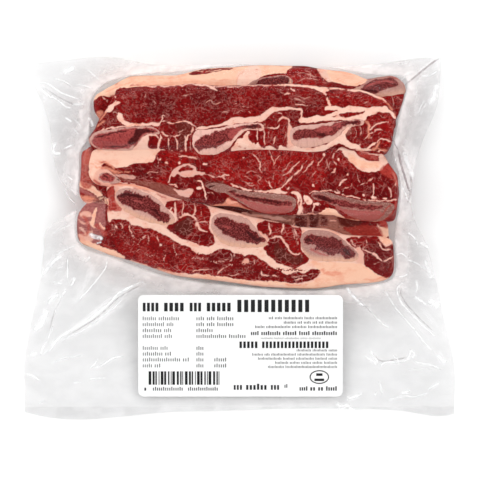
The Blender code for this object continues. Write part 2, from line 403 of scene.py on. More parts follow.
class Nodes:
    """Adds nodes to one new material."""

    def __init__(self, name):
        self.material = bpy.data.materials.new(name)
        self.material.use_nodes = True
        self.tree = self.material.node_tree
        self.shader = self.tree.nodes["Principled BSDF"]
        self.out = self.tree.nodes["Material Output"]

    def add(self, kind, settings=None, values=None, output=0):
        """A node of a type, with its settings first and then its sockets' values or links."""
        node = self.tree.nodes.new("ShaderNode" + kind)
        for name, value in (settings or {}).items():
            setattr(node, name, value)
        for name, value in (values or {}).items():
            self.feed(node.inputs[name], value)
        return Value(self, node.outputs[output])

    def feed(self, socket, value):
        """Links a node's value to a socket, or sets a plain one."""
        if isinstance(value, Value):
            self.tree.links.new(value.socket, socket)
        elif isinstance(value, tuple) and len(value) == 3 and socket.type == "RGBA":
            socket.default_value = (*value, 1)
        else:
            socket.default_value = value

    def set(self, name, value):
        """Feeds one of the surface's own sockets."""
        self.feed(self.shader.inputs[name], value)

    def attribute(self, name):
        return self.add("Attribute", {"attribute_name": name}, output="Fac")

    def scaled(self, size, turn=0.0):
        """Places on the object, turned about z and divided by a size in millimetres along x, y and z."""
        scale = tuple(1 / (MM * s) for s in size)
        place = self.add("TexCoord", output="Object")
        turned = self.add("Mapping", None, {"Vector": place, "Rotation": (0, 0, math.radians(turn))})
        return self.add("VectorMath", {"operation": "MULTIPLY"}, {0: turned, 1: scale})

    def noise(self, vector, detail=2.0, rough=0.5, bend=0.0):
        return self.add("TexNoise", None, {
            "Vector": vector, "Scale": 1.0, "Detail": detail, "Roughness": rough, "Distortion": bend})

    def mix(self, share, first, second):
        """The colour first, with second over it by share."""
        node = self.tree.nodes.new("ShaderNodeMix")
        node.data_type = "RGBA"
        for socket, value in ((node.inputs[0], share), (node.inputs[6], first), (node.inputs[7], second)):
            self.feed(socket, value)
        return Value(self, node.outputs[2])

    def bump(self, height, distance, strength=1.0):
        return self.add("Bump", None, {"Height": height, "Distance": distance * MM, "Strength": strength})

    def see_through(self, share):
        """Lets what lies below show, except for a share."""
        clear = self.add("BsdfTransparent")
        mixed = self.add("MixShader", None, {0: share, 1: clear, 2: Value(self, self.shader.outputs[0])})
        self.tree.links.new(mixed.socket, self.out.inputs["Surface"])


# Meshes

def finish_piece(name, mesh, material, attributes=()):
    """Puts a mesh given in plan millimetres in the scene, in metres, riding on the pouch."""
    piece = bpy.data.objects.new(name, mesh)
    bpy.context.scene.collection.objects.link(piece)
    mesh.materials.append(material)
    mesh.shade_smooth()
    for key, values in attributes:
        layer = mesh.attributes.new(key, "FLOAT", "POINT")
        layer.data.foreach_set("value", np.asarray(values, np.float32))
    places = read_places(mesh)
    places[:, :2] += SHIFT
    write_places(mesh, places * MM)
    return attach(piece, "root")


def read_places(mesh):
    """A mesh's places as rows of x, y and z."""
    flat = np.empty(len(mesh.vertices) * 3)
    mesh.vertices.foreach_get("co", flat)
    return flat.reshape(-1, 3)


def write_places(mesh, places):
    """Moves a mesh's places."""
    mesh.vertices.foreach_set("co", places.astype(np.float32).ravel())
    mesh.update()


def close_bmesh(mesh, name):
    """The mesh data of a bmesh that is then let go."""
    data = bpy.data.meshes.new(name)
    mesh.to_mesh(data)
    mesh.free()
    return data


def grid_mesh(mesh, low, high, step):
    """A flat grid of squares over a plan rectangle."""
    size = np.subtract(high, low)
    count = np.maximum(np.ceil(size / step), 2).astype(int)
    bmesh.ops.create_grid(mesh, x_segments=int(count[0]), y_segments=int(count[1]), size=0.5)
    bmesh.ops.translate(mesh, vec=(0.5, 0.5, 0), verts=mesh.verts)
    bmesh.ops.scale(mesh, vec=(*size, 1), verts=mesh.verts)
    bmesh.ops.translate(mesh, vec=(*low, 0), verts=mesh.verts)


def trim_to(mesh, ring, step):
    """Cuts a flat grid down to a closed curve and brings its rim onto that curve."""
    places = np.array([v.co[:2] for v in mesh.verts])
    reach = Cloud(*places.T).reach(ring, 2 * step)
    outside = [v for v, r in zip(mesh.verts, reach) if r < -0.45 * step]
    bmesh.ops.delete(mesh, geom=outside, context="VERTS")
    loose = [v for v in mesh.verts if not v.link_faces]
    bmesh.ops.delete(mesh, geom=loose, context="VERTS")
    rim = [v for v in mesh.verts if v.is_boundary]
    edge = np.array([v.co[:2] for v in rim])
    for vertex, (x, y) in zip(rim, nearest_on(*edge.T, ring)[1]):
        vertex.co.x, vertex.co.y = x, y


def wall_down(mesh, ring, swell):
    """Adds a rounded wall below a flat sheet's rim and closes it. Heights are shares of the thickness."""
    middle = ring.mean(0)
    for share, out in ((0.12, 0.35), (0.4, 1.0), (0.75, 0.7), (1.0, -0.6)):
        edges = [e for e in mesh.edges if e.is_boundary]
        made = bmesh.ops.extrude_edge_only(mesh, edges=edges)["geom"]
        rim = [g for g in made if isinstance(g, bmesh.types.BMVert)]
        places = np.array([v.co[:2] for v in rim])
        turn = direction_of(ring, nearest_on(*places.T, ring)[0])
        outward = np.stack((turn[:, 1], -turn[:, 0]), 1)
        outward *= np.sign(((places - middle) * outward).sum(1).mean())
        for vertex, (dx, dy) in zip(rim, outward):
            vertex.co.x += dx * swell * out * 0.5
            vertex.co.y += dy * swell * out * 0.5
            vertex.co.z = -share
    bmesh.ops.contextual_create(mesh, geom=[e for e in mesh.edges if e.is_boundary])
    bmesh.ops.recalc_face_normals(mesh, faces=mesh.faces)


def direction_of(ring, along):
    """Unit direction of a closed curve at shares along it."""
    k = (along * len(ring)).astype(int) % len(ring)
    run = ring[(k + 2) % len(ring)] - ring[(k - 2) % len(ring)]
    return run / np.maximum(np.hypot(run[:, 0], run[:, 1]), 1e-6)[:, None]


# The meat: flat rows of x, y places in plan

BACK_MARKS = (
    cream(0, -104, 95, -98, 105, -80, 115, -40, 117, 18, 122, 36, 121, 34, 116, 28, 113.4, 12, 110, 5, 104,
        -20, 103, -60, 103, -84, 104, -88, 99, -93, 97.6, -99, 97.4),
    lean(0, -101.6, 87, -102, 93, -99.6, 96.8, -94.6, 97.6, -91.6, 94, -93, 88.6, -96, 85.4),
    seam(0.9, -96.4, 97.4, -94, 95.6, -91, 94),
    salmon(0, -101, 84, -98, 88.6, -95, 86.4, -96, 82, -99, 79), vein(1.1, -98.4, 88, -96.6, 84, -97, 80),
    bloody(0, -91, 98, -89, 99.4, -86.4, 98.4, -88, 96), bloody(1.2, -87.4, 106.6, -85.4, 107.6),
    bloody(1, -77, 105.6, -74, 106.6, -70, 106.2), salmon(0.8, -58, 111.6, -50, 111.6, -38, 112.8),
    salmon(0.7, -68, 108.4, -60, 108.6, -50, 108.2), salmon(0.8, -20, 110.6, -12, 109.4, -4, 110),
    salmon(0.9, -94, 101.6, -84, 105.4, -76, 108),
    blush(0, -70, 106, -62, 109, -44, 110.6, -28, 110, -20, 107.6, -6, 108, -6, 105, -40, 105),
    bright(0, -36, 113.4, -36, 116, -20, 119, -4, 119, -4, 117.6, -18, 115.4),
    lean(0, -35.4, 113.8, -33, 115.4, -27, 116.9, -20, 117.7, -11, 117.9, -4.6, 118.4, -11, 117, -18, 116,
        -24, 114.9, -30, 113.9), dark(1.2, -34, 114.4, -26, 115.8, -18, 116.8),
    seam(0.6, -30, 116.4, -22, 116.2, -12, 117.2),
    fat(0, -1, 106, -2, 112, 3, 118, 12, 120, 15.4, 113, 8, 106),
    salmon(0.5, -2.4, 106.6, -1.6, 111.4, 3, 116.4), lean(0, 9, 106, 10, 108.6, 14, 111, 20, 112.4, 28,
        113.4, 33, 113, 33.6, 116, 38, 118.8, 45, 119.3, 52, 118.6, 56, 116, 57, 113, 60.6, 109.8, 64,
        107.4, 74, 106, 86, 106, 86, 102, 30, 103, 8, 104),
    bright(0, 34, 106, 34, 118, 54, 119, 60, 110, 60, 105), dark(1, 38, 118.9, 46, 119.2, 53, 118.2),
    vein(0.9, 38.4, 112.8, 43, 115.2, 50, 113, 55, 111.6),
    vein(0.9, 40, 108.4, 46, 111, 52, 110.8, 56, 108.4), vein(0.7, 46, 117.6, 49, 115, 50, 112),
    seam(1.2, 36, 108, 38, 106.4, 44, 106),
    pale(0, 55.4, 118, 57.6, 113, 61, 109.6, 66, 108.4, 70, 111, 67, 117),
    cream(0, 62, 117, 64.6, 109.6, 72, 107, 82, 106.4, 91.6, 108.8, 86, 112, 78, 115.4, 70, 117),
    # The dark stroke from x 71 to 84 is painted shadow in the gap below the fat wedge
    salmon(0.8, 66, 115.8, 74, 115, 80, 113), dark(2.4, 71, 105.4, 78, 104.6, 84, 105.4),
    lean(0, 96, 98.6, 104, 99.4, 112, 101, 117, 104, 117, 92, 108, 80, 98, 84),
    bright(0, 98, 99, 116, 104, 116, 90, 104, 82), seam(1, 97, 98.6, 104, 99, 111.4, 100.8),
    vein(0.9, 107, 99, 108.4, 94, 107.4, 89), vein(0.8, 110, 99.4, 112, 96, 113.6, 95.6),
)
BACK = Slab(
    outline=(
        -102, 90, -101.4, 98, -95, 102.8, -88, 106.8, -80, 111, -75, 112.6, -60, 113, -45, 113, -36, 115,
        -28, 117, -18, 118, -5, 118.6, 5, 119.6, 18, 120, 33, 119.6, 46, 119.4, 54, 118, 64, 116.6, 74,
        115.6, 82, 113.4, 89, 110.5, 97, 111.5, 106, 112.4, 112, 110.4, 116, 106, 115.6, 99, 114, 93, 110,
        83, 104, 74, 60, 74, 0, 76, -60, 74, -92, 76, -99, 84),
    centre=(7, 96), slope=-0.12, level=20, thickness=10, step=SLICE_STEP, tone=0.5, veins=0.35,
    marks=BACK_MARKS,
    strewn=(
        strewn(70, 6, 0.5, 8, 18, -98, 98, -80, 110, -40, 112, 0, 113, 0, 106, -60, 106, -90, 98),
        strewn(60, 2.5, 0.5, 30, 60, 34, 106, 36, 118, 54, 118, 60, 108),
        strewn(40, 2.2, 0.5, 60, 60, 98, 98, 115, 102, 114, 88, 104, 84)))

TOP_BACK_MARKS = (
    dark(0, -66, 86, -60, 102, -34, 104, -8, 102, -4, 88, -28, 80, -50, 84),
    bright(0, 66, 92, 68, 102, 84, 101, 98, 96, 104, 92),
    pale(1.1, -82, 104.6, -74, 105.8, -60, 105.4, -46, 105.4, -36, 106.8, -27, 106.4, -16, 105),
    pale(0.8, -16, 105, 0, 105.3, 14, 105.9, 28, 106.4),
    pale(0, -34, 107, -28, 105.2, -22, 104.4, -15, 102.2, -17.6, 104.6, -23, 106.4),
    fat(1.6, 26, 106.7, 38, 106.2, 50, 105, 62, 104.2, 76, 103.4),
    fat(2.2, 76, 103, 86, 101.8, 93, 99.4, 98, 97.4, 103, 94.6),
    salmon(1.2, 98, 96.6, 103, 93.6, 107, 89.4, 108.6, 84),
    fat(0, 44, 105.4, 52, 103, 56, 101.4, 60, 101, 62, 103.6),
    fat(0, -94.4, 87, -92, 90.6, -88, 93, -84.4, 94.6, -83.4, 93.6, -87, 90.6, -89.6, 88),
    fat(1.5, -87, 92, -86.4, 95, -87.4, 98.6), salmon(1.2, -98, 81, -95.4, 84.4, -93, 88),
    salmon(1.5, -99.6, 76.4, -96, 79.6, -94.4, 80.4), fat(0, -86, 85.4, -84.6, 82.4, -82.6, 79.6, -78,
        77.2, -72, 77, -76, 78.8, -80, 80.8, -81.6, 83.6, -83.6, 85.8),
    vein(0.9, -86, 85, -87.6, 86.4, -89, 86), pale(1, -100.6, 72.9, -94, 74.7, -86, 76.1, -78, 76.9),
    salmon(1.2, -79, 77.6, -74, 77.6, -70, 78),
    pale(0, -73, 77.2, -68, 79.2, -62, 79.6, -57, 79.6, -54.6, 81, -56, 78.6, -58, 77.2, -64, 77.4),
    pale(0.9, -55, 80.4, -53.6, 82.4, -53.8, 84.4, -52.2, 84),
    pale(1.1, -55, 80.6, -50, 79.6, -44, 79.7, -40, 80.5, -36, 80.2, -33, 78.4, -30, 76.4),
    pale(0, -31, 75, -27, 77, -18, 77.4, -12, 79, -8, 81, -5.4, 82.8, 0, 83.2, 6, 83.4, 12, 84, 16, 86, 20,
        88.8, 25, 90.3, 31, 90.6, 37, 90.9, 42, 89.4, 44, 87.4, 43.6, 82, 42.4, 82, 42.4, 87, 38, 88.9, 31,
        88.5, 25, 87.4, 21, 84.4, 17, 80.8, 12, 79.8, 5, 79.4, -4, 78.4, -14, 76.6, -24, 75.4),
    fat(0, 42, 79.6, 43, 82.4, 48, 82.6, 52, 84.2, 60, 84.8, 66, 86.8, 68.4, 87.8, 63, 88.8, 60, 88.4,
        59.8, 90, 62, 91.4, 67, 91.8, 69.6, 90.6, 80, 91, 90, 90.2, 98, 90.8, 104, 89.6, 108, 85.6, 109.6,
        82.2, 107.4, 82.4, 105, 85.8, 100, 87.4, 95, 86.6, 90, 84.2, 87.6, 81.4, 84, 81.9, 74, 81.4, 60,
        80.6, 50, 79.6), lean(0, 70.4, 85.2, 73, 86.1, 80, 86, 88, 87, 84, 85.4, 77, 84.3, 72, 84.2),
    lean(0.8, 65, 83.4, 69, 83.8, 73, 83.4), pale(0.8, 39, 93, 43, 92, 47, 90.8),
    vein(0.8, 38, 96, 42, 95.4, 46, 92.8), vein(0.8, 40, 98, 45, 96.4, 50, 97.4),
    fat(1.4, 57, 101.4, 60, 99.6, 62, 96.4, 63, 92.8, 64.4, 90.4),
    pale(1.6, 31.6, 99.2, 33.4, 99.4, 35.4, 99.8), vein(0.8, 28, 101.6, 31, 100, 34, 99.6),
    pale(1.2, 36, 104, 37.6, 103, 38.4, 102.4), vein(0.9, -23.6, 93, -21.4, 95, -17, 94.6),
    vein(0.9, -20, 94.4, -17, 92.8, -13, 93.6), vein(0.7, -2, 86, 0, 87.2, 3, 87),
    vein(0.9, -13, 87, -10, 87.6, -7.4, 87.2), vein(0.7, 1, 91, 4, 91, 7, 90.6),
    vein(0.7, 11, 98.6, 14, 100.8), vein(0.8, -67, 96.6, -65, 99, -63.6, 101),
    vein(0.9, -60, 94.6, -58.4, 92.8), vein(0.7, -40, 99, -36, 98.8, -33, 99.2),
    vein(0.7, -38, 102.6, -36.6, 100.6), vein(0.7, -4, 93, -2, 93.8), vein(0.9, 6.6, 87.6, 8, 86.4),
    vein(1, 67, 98.4, 70, 98), vein(0.8, 74, 98, 78, 97.6), vein(0.8, 87, 93.4, 90, 95),
    pale(0.8, 27, 86.2, 29, 85.4), pale(1.1, 19, 75.6, 23, 75.4, 26, 76.6, 27.6, 78.2),
    vein(0.7, 17, 79.6, 18.6, 77, 18, 75),
    pale(1.4, 27.8, 81, 29, 82.9, 31.6, 83.4, 34, 82.4, 35, 79.4, 35.6, 76),
    pale(1, 4, 74.6, 8, 74.9, 12, 74.9, 16.6, 74.4, 17.2, 77.4), pale(0.9, 12.8, 74, 13, 69, 13.4, 65),
    pale(1, 17.2, 74, 17.8, 69, 18, 65), vein(0.7, 20.6, 73, 21, 69),
    pale(1.1, 24.6, 69, 23.8, 66.4, 23.2, 64.4), vein(0.7, 31.4, 75, 32.6, 71, 31.2, 67),
    blush(0, 34, 77, 33.4, 70, 33.6, 62, 37, 60.4, 38.6, 64, 36, 68, 37, 76),
    fat(0, -6.6, 60, -4, 64.4, -1, 67.6, 3, 69.6, 5.6, 73.2, 7, 72.6, 6.4, 69, 8, 65.4, 11, 64, 13, 65.4,
        15, 62.6, 17, 61.8, 19, 63.4, 22, 63, 25, 61.4, 27, 60.8, 29, 63.4, 32, 62.6, 36, 61, 44, 60, 44,
        58, 20, 59.4, -2, 59), bloody(1.2, -1, 63, 1, 62.4), bloody(1, 3.4, 61.6, 5, 61.8),
    bloody(1, 0, 68.6, 2, 70), fat(0, 34, 60, 38, 63, 46, 61.8, 55, 63, 63, 65.8, 69, 69.4, 72, 73.2, 76,
        76.2, 79, 77, 77, 74.6, 74, 71.6, 74.6, 68.6, 78, 65.2, 84, 63.2, 80, 60.4, 74, 62.4, 69, 64, 62,
        61, 54, 58.6, 47, 57.9, 40, 59), bright(2.4, 68, 63.6, 71, 63.8, 74, 62),
    lean(1.6, 68.4, 63, 71, 63.4, 73, 62.2), grey(0, 72, 71.6, 75, 75, 78, 76, 78, 72, 75, 70.6),
    vein(0.8, 77, 76, 77.8, 72), vein(0.8, 81, 76.6, 81.6, 72, 80.6, 68),
    vein(0.9, 84.6, 76.6, 85, 73, 84.4, 70.6), fat(2, 76, 63.4, 82, 61.6, 88, 60.6, 94, 60.2),
    fat(1.4, 84.4, 64.6, 84, 62, 86, 60.4), fat(1.6, 89, 60.8, 92, 64, 95, 65.6),
    salmon(2, 92, 59.6, 96, 62.6, 98.4, 65.6), pale(1.2, 96.4, 65.6, 99, 67.8, 103, 67, 106, 66),
    pale(1.4, 80, 60.4, 88, 59.2, 95, 59, 99, 60.4, 102, 58.8),
    salmon(1.4, 97, 61.8, 101, 60.6, 104, 60.8),
    salmon(1.7, 87.6, 81, 89.6, 79, 90.4, 76, 90.8, 72, 90, 69), seam(0.9, 91, 75, 90, 78.6),
    pale(1, 90.6, 74.4, 94, 76.4, 97.4, 79.2, 101, 80, 104, 79.8),
    seam(0.9, 87, 68, 91, 71.8, 95, 74, 100, 74.4), vein(0.7, 97.6, 86, 100, 84.4, 102.6, 82.8),
    vein(0.8, 97, 71.6, 99, 72.2), vein(1, 91, 69, 93, 70),
    bright(0, 100, 62, 102, 84, 106, 88, 109, 82, 107, 66), pale(0, -78, 59.6, -73, 62.4, -70, 66, -67,
        69.6, -62, 71.2, -58, 71, -56.2, 67, -57, 62.4, -52, 60, -46, 58.6, -60, 59),
    lean(0, -63.6, 64, -63, 68.6, -60, 69.2, -57.4, 68.6, -57, 65, -58.6, 62.6, -62, 62.6),
    beige(0, -70.6, 63, -69.6, 67, -66.4, 69, -64.2, 66.6, -65, 62.4, -68, 61.4),
    pale(1, -58.6, 72.6, -54.4, 73.2, -52, 71.4, -48, 70, -44.4, 70, -42, 71),
    pale(1.4, -54.8, 71, -55.8, 67, -56.6, 62.6), pale(1.2, -50.2, 69, -49.6, 65, -48.8, 61, -46.6, 59.4),
    pale(1.3, -44.6, 69, -43.4, 65, -44, 60), pale(1.2, -37.6, 70, -38.2, 65, -38, 59),
    pale(1.2, -33.4, 71.4, -35.8, 69.6, -37.6, 66), vein(0.8, -34.4, 66, -34.8, 60),
    brown(0, -45.6, 79, -41, 80.4, -36, 79.6, -32.6, 76, -32.6, 71.6, -36, 70.4, -39, 64, -42, 62, -42.4,
        68, -43.4, 72, -44.4, 76), vein(0.9, -43, 72.4, -40.6, 73.8, -38, 74.4),
    dark(0, -56, 79, -46, 79, -44, 72, -54, 73), blush(1.6, -32.6, 76, -33.6, 72.6),
    pale(1.3, -46, 58.8, -36, 58.4, -30, 57.8),
)
TOP_BACK = Slab(
    outline=(
        -84, 101.4, -88, 97.6, -94, 87.4, -98, 82, -101, 75.4, -105, 70, -105.4, 67.6, -104, 63.6, -100,
        61, -92, 60, -80, 59.8, -62, 60, -52, 59, -46, 58, -36, 57.6, -29, 57.4, -20, 56.3, -13, 56.8, -6,
        58.6, 0, 60, 8, 60.3, 20, 60.2, 32, 59.6, 40, 58.6, 48, 57.5, 56, 58.2, 64, 61, 69, 63.6, 73, 62.4,
        78, 60.2, 86, 58.8, 93, 57.8, 99, 57, 103, 58.6, 106, 64, 107.6, 72, 108.6, 79, 109.6, 84, 108.4,
        90, 104, 95, 98, 98, 93, 100, 85, 102.9, 75, 103.9, 60, 104.8, 45, 106.2, 30, 106.9, 12, 106.3, 2,
        105.7, -16, 105.4, -27, 106.8, -36, 107.2, -44, 105.8, -60, 105.8, -74, 106.2, -80, 104.6),
    centre=(3.5, 82), slope=-0.11, level=40, thickness=7.5, step=SLICE_STEP, tone=0.42, veins=0.45,
    marks=TOP_BACK_MARKS,
    strewn=(
        strewn(1250, 1.3, 0.34, 25, 70, -97, 78, -84, 100, -60, 105, -36, 106, 0, 104, 50, 103, 52, 86, 42,
            90, 24, 92, -6, 84, -30, 78, -56, 82, -80, 80), strewn(130, 3, 0.32, -25, 30, -97, 78, -84,
            100, -60, 105, -20, 104, 0, 102, -4, 86, -30, 78, -56, 82),
        strewn(70, 3.4, 0.34, 10, 25, -20, 86, -20, 103, 60, 102, 60, 92, 24, 92, 0, 84),
        strewn(90, 2.2, 0.4, 130, 25, -100, 75, -86, 97, -70, 96, -74, 80),
        strewn(150, 1.2, 0.36, 10, 50, 62, 92, 62, 103, 84, 101, 104, 93),
        strewn(150, 1.7, 0.36, 75, 30, 18, 62, 18, 80, 40, 90, 44, 80, 34, 62),
        strewn(120, 1.7, 0.36, 30, 60, 88, 64, 90, 84, 106, 86, 108, 66),
        strewn(50, 1.5, 0.36, 85, 30, 72, 64, 74, 76, 86, 76, 86, 64),
        strewn(90, 1.5, 0.36, 75, 30, -56, 60, -56, 79, -36, 80, -34, 60)))

TOP_MIDDLE_MARKS = (
    dark(0, -90, 40, -88, 50, -62, 51, -57, 58, -57, 40),
    bright(0, -57, 54, -57, 60, -30, 60, -8, 59, 0, 62, 8, 60, -4, 53, -30, 56),
    bright(0, -10, 38, -16, 56, 10, 60, 50, 60, 60, 48, 50, 36, 20, 34),
    dark(0, 60, 33, 66, 48, 84, 45, 98, 44, 110, 40, 110, 26, 84, 28),
    dark(0, -50, 36, -46, 44, -30, 42, -22, 34, -10, 30, -12, 22, -34, 26),
    tallow(0, -106, 46, -104.6, 56, -102, 60.6, -96, 62, -58, 62, -57.4, 58, -58.4, 55.4, -60.4, 53.4,
        -62.6, 51.9, -67, 51.5, -74, 51.1, -77, 50, -79, 48.9, -84, 48.7, -88, 49, -92, 50.6, -96, 50.2,
        -98, 46, -101, 42.4, -103, 38.6, -106.6, 42), salmon(1.4, -105.4, 50.6, -102, 49.4, -99, 47),
    salmon(1.6, -98, 52.6, -94, 51.2, -90, 49.6, -87, 47.6), bloody(1.1, -97, 51.8, -94, 51.6),
    salmon(2, -99, 47.6, -94, 48, -89, 46.4, -84, 45.6),
    blush(0, -103, 38, -101, 44, -96, 47.6, -90, 45.4, -86, 41, -88, 36, -96, 35),
    bloody(2.2, -102, 40, -100, 37.6, -97.6, 36), bloody(1.2, -90, 37, -86, 35.8, -82, 37),
    vein(0, -87.6, 43.4, -84, 43.8, -79, 43.4, -75, 43.2, -72, 42, -72.4, 40.6, -76, 40.2, -80, 40.6, -84,
        41.8), fat(1.5, -73.8, 45.2, -72.4, 46), vein(1, -66, 42.6, -64, 44.6, -61, 45.2, -57, 44.8),
    vein(0.7, -64, 41, -60, 41.6), salmon(1, -88, 44.6, -84, 44.6, -80, 45.4, -76, 45),
    vein(0.8, -57.2, 56, -57, 52, -57.4, 47), fat(1.2, -52, 52, -50.6, 51.6),
    fat(1.6, -43.4, 51.6, -42, 51.2), pale(1, -42, 56, -37, 55.8, -30, 55), fat(1.2, -56, 53.4, -55, 54.6),
    fat(0, -26, 50, -24.6, 51, -22.6, 50.4, -23.6, 49.4), seam(0, -48, 42.6, -46.6, 47, -43, 49.2, -39,
        50.4, -34, 50.2, -30.6, 48, -29.6, 45.4, -24, 44.4, -30, 42.4, -37, 41.4, -42, 42.6, -44, 44,
        -45.6, 41.6), lean(0, -42.6, 45.6, -40, 48, -36, 48.4, -33, 47, -36, 47, -39.6, 46.4),
    beige(0, -42, 43.8, -40, 46, -34, 46, -31, 44.4, -36, 42.6),
    seam(1.5, -46.6, 46, -48.4, 42.4, -49.4, 38.6, -50.4, 35.6), pale(1, -50, 37, -46, 36, -44, 34),
    seam(0, -47, 33, -43, 32.4, -38, 32, -35, 33.6, -32.8, 33, -33.6, 30, -36, 27.4, -40, 28, -44, 30),
    seam(1.1, -34, 44.4, -28, 44, -22, 42.8, -16, 41.8, -10, 41.6),
    pale(1, -12.4, 42.2, -9.4, 43, -7.4, 42.4), pale(0.8, -11.4, 41.2, -9.8, 39.8),
    vein(0.7, -15, 46.4, -13, 44.4, -10, 44), vein(0.7, -8, 47, -4.6, 45, -3, 42.6),
    fat(1.2, -30.6, 39, -28, 38.2, -26, 36.2, -25.2, 33, -24.2, 30, -24, 26),
    fat(2, -29.8, 34, -26.6, 33.4), vein(0.9, -23, 30.4, -19.6, 31, -18, 29.4),
    brown(0, -26, 37, -22, 38.6, -12, 38.6, -10, 36.6, -16, 36), beige(1, -11.4, 38.6, -12, 36.8),
    salmon(0, -24, 21, -14, 22.4, -10.4, 24.4, -8.6, 27, -5, 25.6, -2, 23.8, 3, 21, 9, 18, 2, 19.4, -8,
        20.4), fat(0, -10, 24, -8.4, 26.4, -5, 25, -1, 23, -6, 22.4),
    pale(1.4, -7, 36.2, -3, 34.9, 2, 33.2, 8, 31.9, 16, 31.9, 22, 31.2, 27, 30.4),
    pale(0, 20, 31.6, 25, 33, 28.6, 34.6, 29, 32.4, 34, 30.4, 30, 30), pale(1.2, 33, 31.4, 35, 34),
    pale(1, 28, 33.4, 31.6, 37, 36, 41.6, 42, 46.6, 48, 53), seam(0.8, 33, 45, 38, 48.4, 45, 55),
    seam(0.8, 44, 44.6, 48, 48, 52, 53.4), seam(0.7, 30, 42, 36, 46, 40, 50),
    seam(0.8, 20.6, 60, 22, 55, 24.2, 50), seam(0.8, 24.2, 50, 26, 54, 28.6, 57),
    seam(1, 9, 58, 12, 55.4, 14.2, 51, 14.6, 47, 15.4, 44.6), vein(0.7, 30, 54, 28.4, 50, 26.6, 47.4),
    vein(0.7, 38, 53.4, 34.6, 51, 32, 47, 30, 44), vein(0.7, 17.6, 52, 18.6, 48, 17.4, 45),
    vein(0.8, 0, 39, 3, 42, 7.4, 40.8, 8.4, 39), vein(0.8, 0.6, 38.2, 5, 37.6, 10, 37.2),
    vein(0.9, 5, 37.6, 7.6, 35.4, 11, 36), vein(0.7, 11.6, 42.6, 14.4, 41, 12.4, 38.4, 14, 36.4),
    vein(0.7, 17, 41, 18.6, 38, 22, 36.4), pale(0.9, 20.6, 38.6, 20.8, 35.8, 23.4, 33.2),
    vein(0.7, 24, 44, 23, 40), fat(0.9, 1.6, 55, 2.4, 55.4), vein(0.7, 5, 44, 9, 45.4, 12, 44),
    fat(0, 36.6, 30, 39.4, 28.4, 40.6, 24, 42, 20, 40.6, 16, 43, 16, 44, 22, 42.6, 28, 40, 31),
    lean(1.4, 41.8, 27, 42.6, 21), pale(1, 44.6, 16, 44, 20, 45, 24),
    fat(0, 44.4, 27.4, 48, 27.6, 50.6, 25, 50, 22.6, 47.6, 22.4, 46, 23.6),
    bloody(1, 46.6, 25, 47.6, 25.6), dark(0, 45, 22, 51, 22, 51, 16, 45, 16),
    dark(0, 52, 22, 58, 21, 57, 16, 52, 16), pale(1, 51.6, 23, 51.8, 19, 51, 16.6),
    fat(1.8, 52, 22.6, 56.6, 22.4),
    cream(0, 56, 15.8, 58, 17.6, 61, 19.8, 64, 20, 67, 17.4, 71, 14.8, 74, 13, 66, 14.4),
    pale(0.9, 38, 15.4, 48, 15.8, 58, 15.8),
    pale(1.1, 49.6, 29.4, 52, 31.6, 58, 31.5, 64, 32, 68, 30.2, 76, 28.2, 84, 26.3, 92, 25.2, 104, 24.8),
    fat(0, 69, 61, 71.6, 59.4, 74, 56, 77, 53.4, 80.4, 50, 83, 46.8, 87, 44.9, 93, 44.9, 97, 46.2, 100,
        47.8, 102.4, 50, 105, 52, 102.6, 55, 99, 56.6, 97.4, 55, 98, 52.8, 95, 52.2, 90, 52.7, 85.6, 54.7,
        82, 57.8, 79, 60.4, 75, 62),
    cream(0, 76, 54.4, 80, 51, 84, 48, 90, 47.4, 97, 48.6, 98, 51.4, 90, 51.6, 84, 53.6, 78, 57.6),
    bloody(0, 83, 58, 86, 55.4, 91, 53.8, 96, 53.6, 97.4, 55.6, 92, 57, 86, 59.6),
    pale(1.2, 84, 60, 90, 57.6, 97, 57, 103, 57),
    bloody(0, 98, 46, 102, 49.6, 106, 48.6, 110, 42, 111, 36, 108, 38),
    pale(1.2, 107, 44, 109, 40, 109, 36),
    seam(1, 69.4, 61, 66.4, 57.6, 65.6, 53.6, 67.4, 49.4, 66.2, 45.8, 64.4, 44),
    fat(1.8, 69.4, 54.6, 69.6, 52.6), fat(1.7, 59.8, 58.4, 59.6, 56.4),
    seam(0.8, 54, 49.6, 56.4, 53, 58.6, 56.4), vein(0.8, 51, 42, 54, 46, 55, 50),
    vein(0.7, 61, 54, 62, 50, 60, 46), vein(0.7, 64, 52, 62.6, 49, 64, 46), fat(2, 51.2, 36.4, 52, 35.4),
    vein(0.8, 58, 39, 59.6, 41.4), fat(1.4, 69.6, 36, 71, 36.8), pale(1, 70.4, 36.6, 72, 38.8, 74.6, 40),
    fat(1.4, 75, 42.6, 75.8, 43), seam(0.9, 72.6, 31, 73.4, 33.6, 77, 34.6, 79, 37.6),
    seam(0.8, 67, 34, 69, 31.4, 72, 30), seam(0.8, 84, 36, 88, 38, 92, 39, 93, 41),
    vein(0.8, 82, 43.6, 83.4, 40, 84, 37.6), pale(0.9, 93, 37, 93.8, 31, 93.4, 26.6),
    seam(0.9, 104, 34, 106.4, 31, 105.4, 26.6), vein(0.7, 98, 36, 101, 33), fat(1.6, 85.6, 28.8, 87, 28),
    fat(1.8, 93, 27, 96, 26.4), fat(1.6, 101, 26.6, 103, 26.6), pale(0.9, 103, 24.6, 108, 25.4, 111, 26),
    bloody(2, 98, 10.8, 104, 14, 108, 20, 110, 24), pale(1, 76, 11.6, 88, 10.9, 98, 10.9),
    salmon(1.2, 70, 13.4, 78, 11.9, 90, 11, 100, 11), grey(0, -90, 43, -85, 41.7, -80, 40.2, -70, 38.9,
        -62, 38.6, -56, 37.4, -50, 35.6, -45, 33.2, -40, 29.8, -36, 26.6, -34.4, 24.8, -38, 24.8, -45,
        26.8, -52, 28.4, -58, 31, -62, 33.4, -68, 36, -76, 38, -84, 40.6),
    pale(1, -86, 38.4, -78, 36.8, -70, 35, -62, 32, -56, 30), salmon(1.4, -88, 37, -78, 36, -70, 35),
)
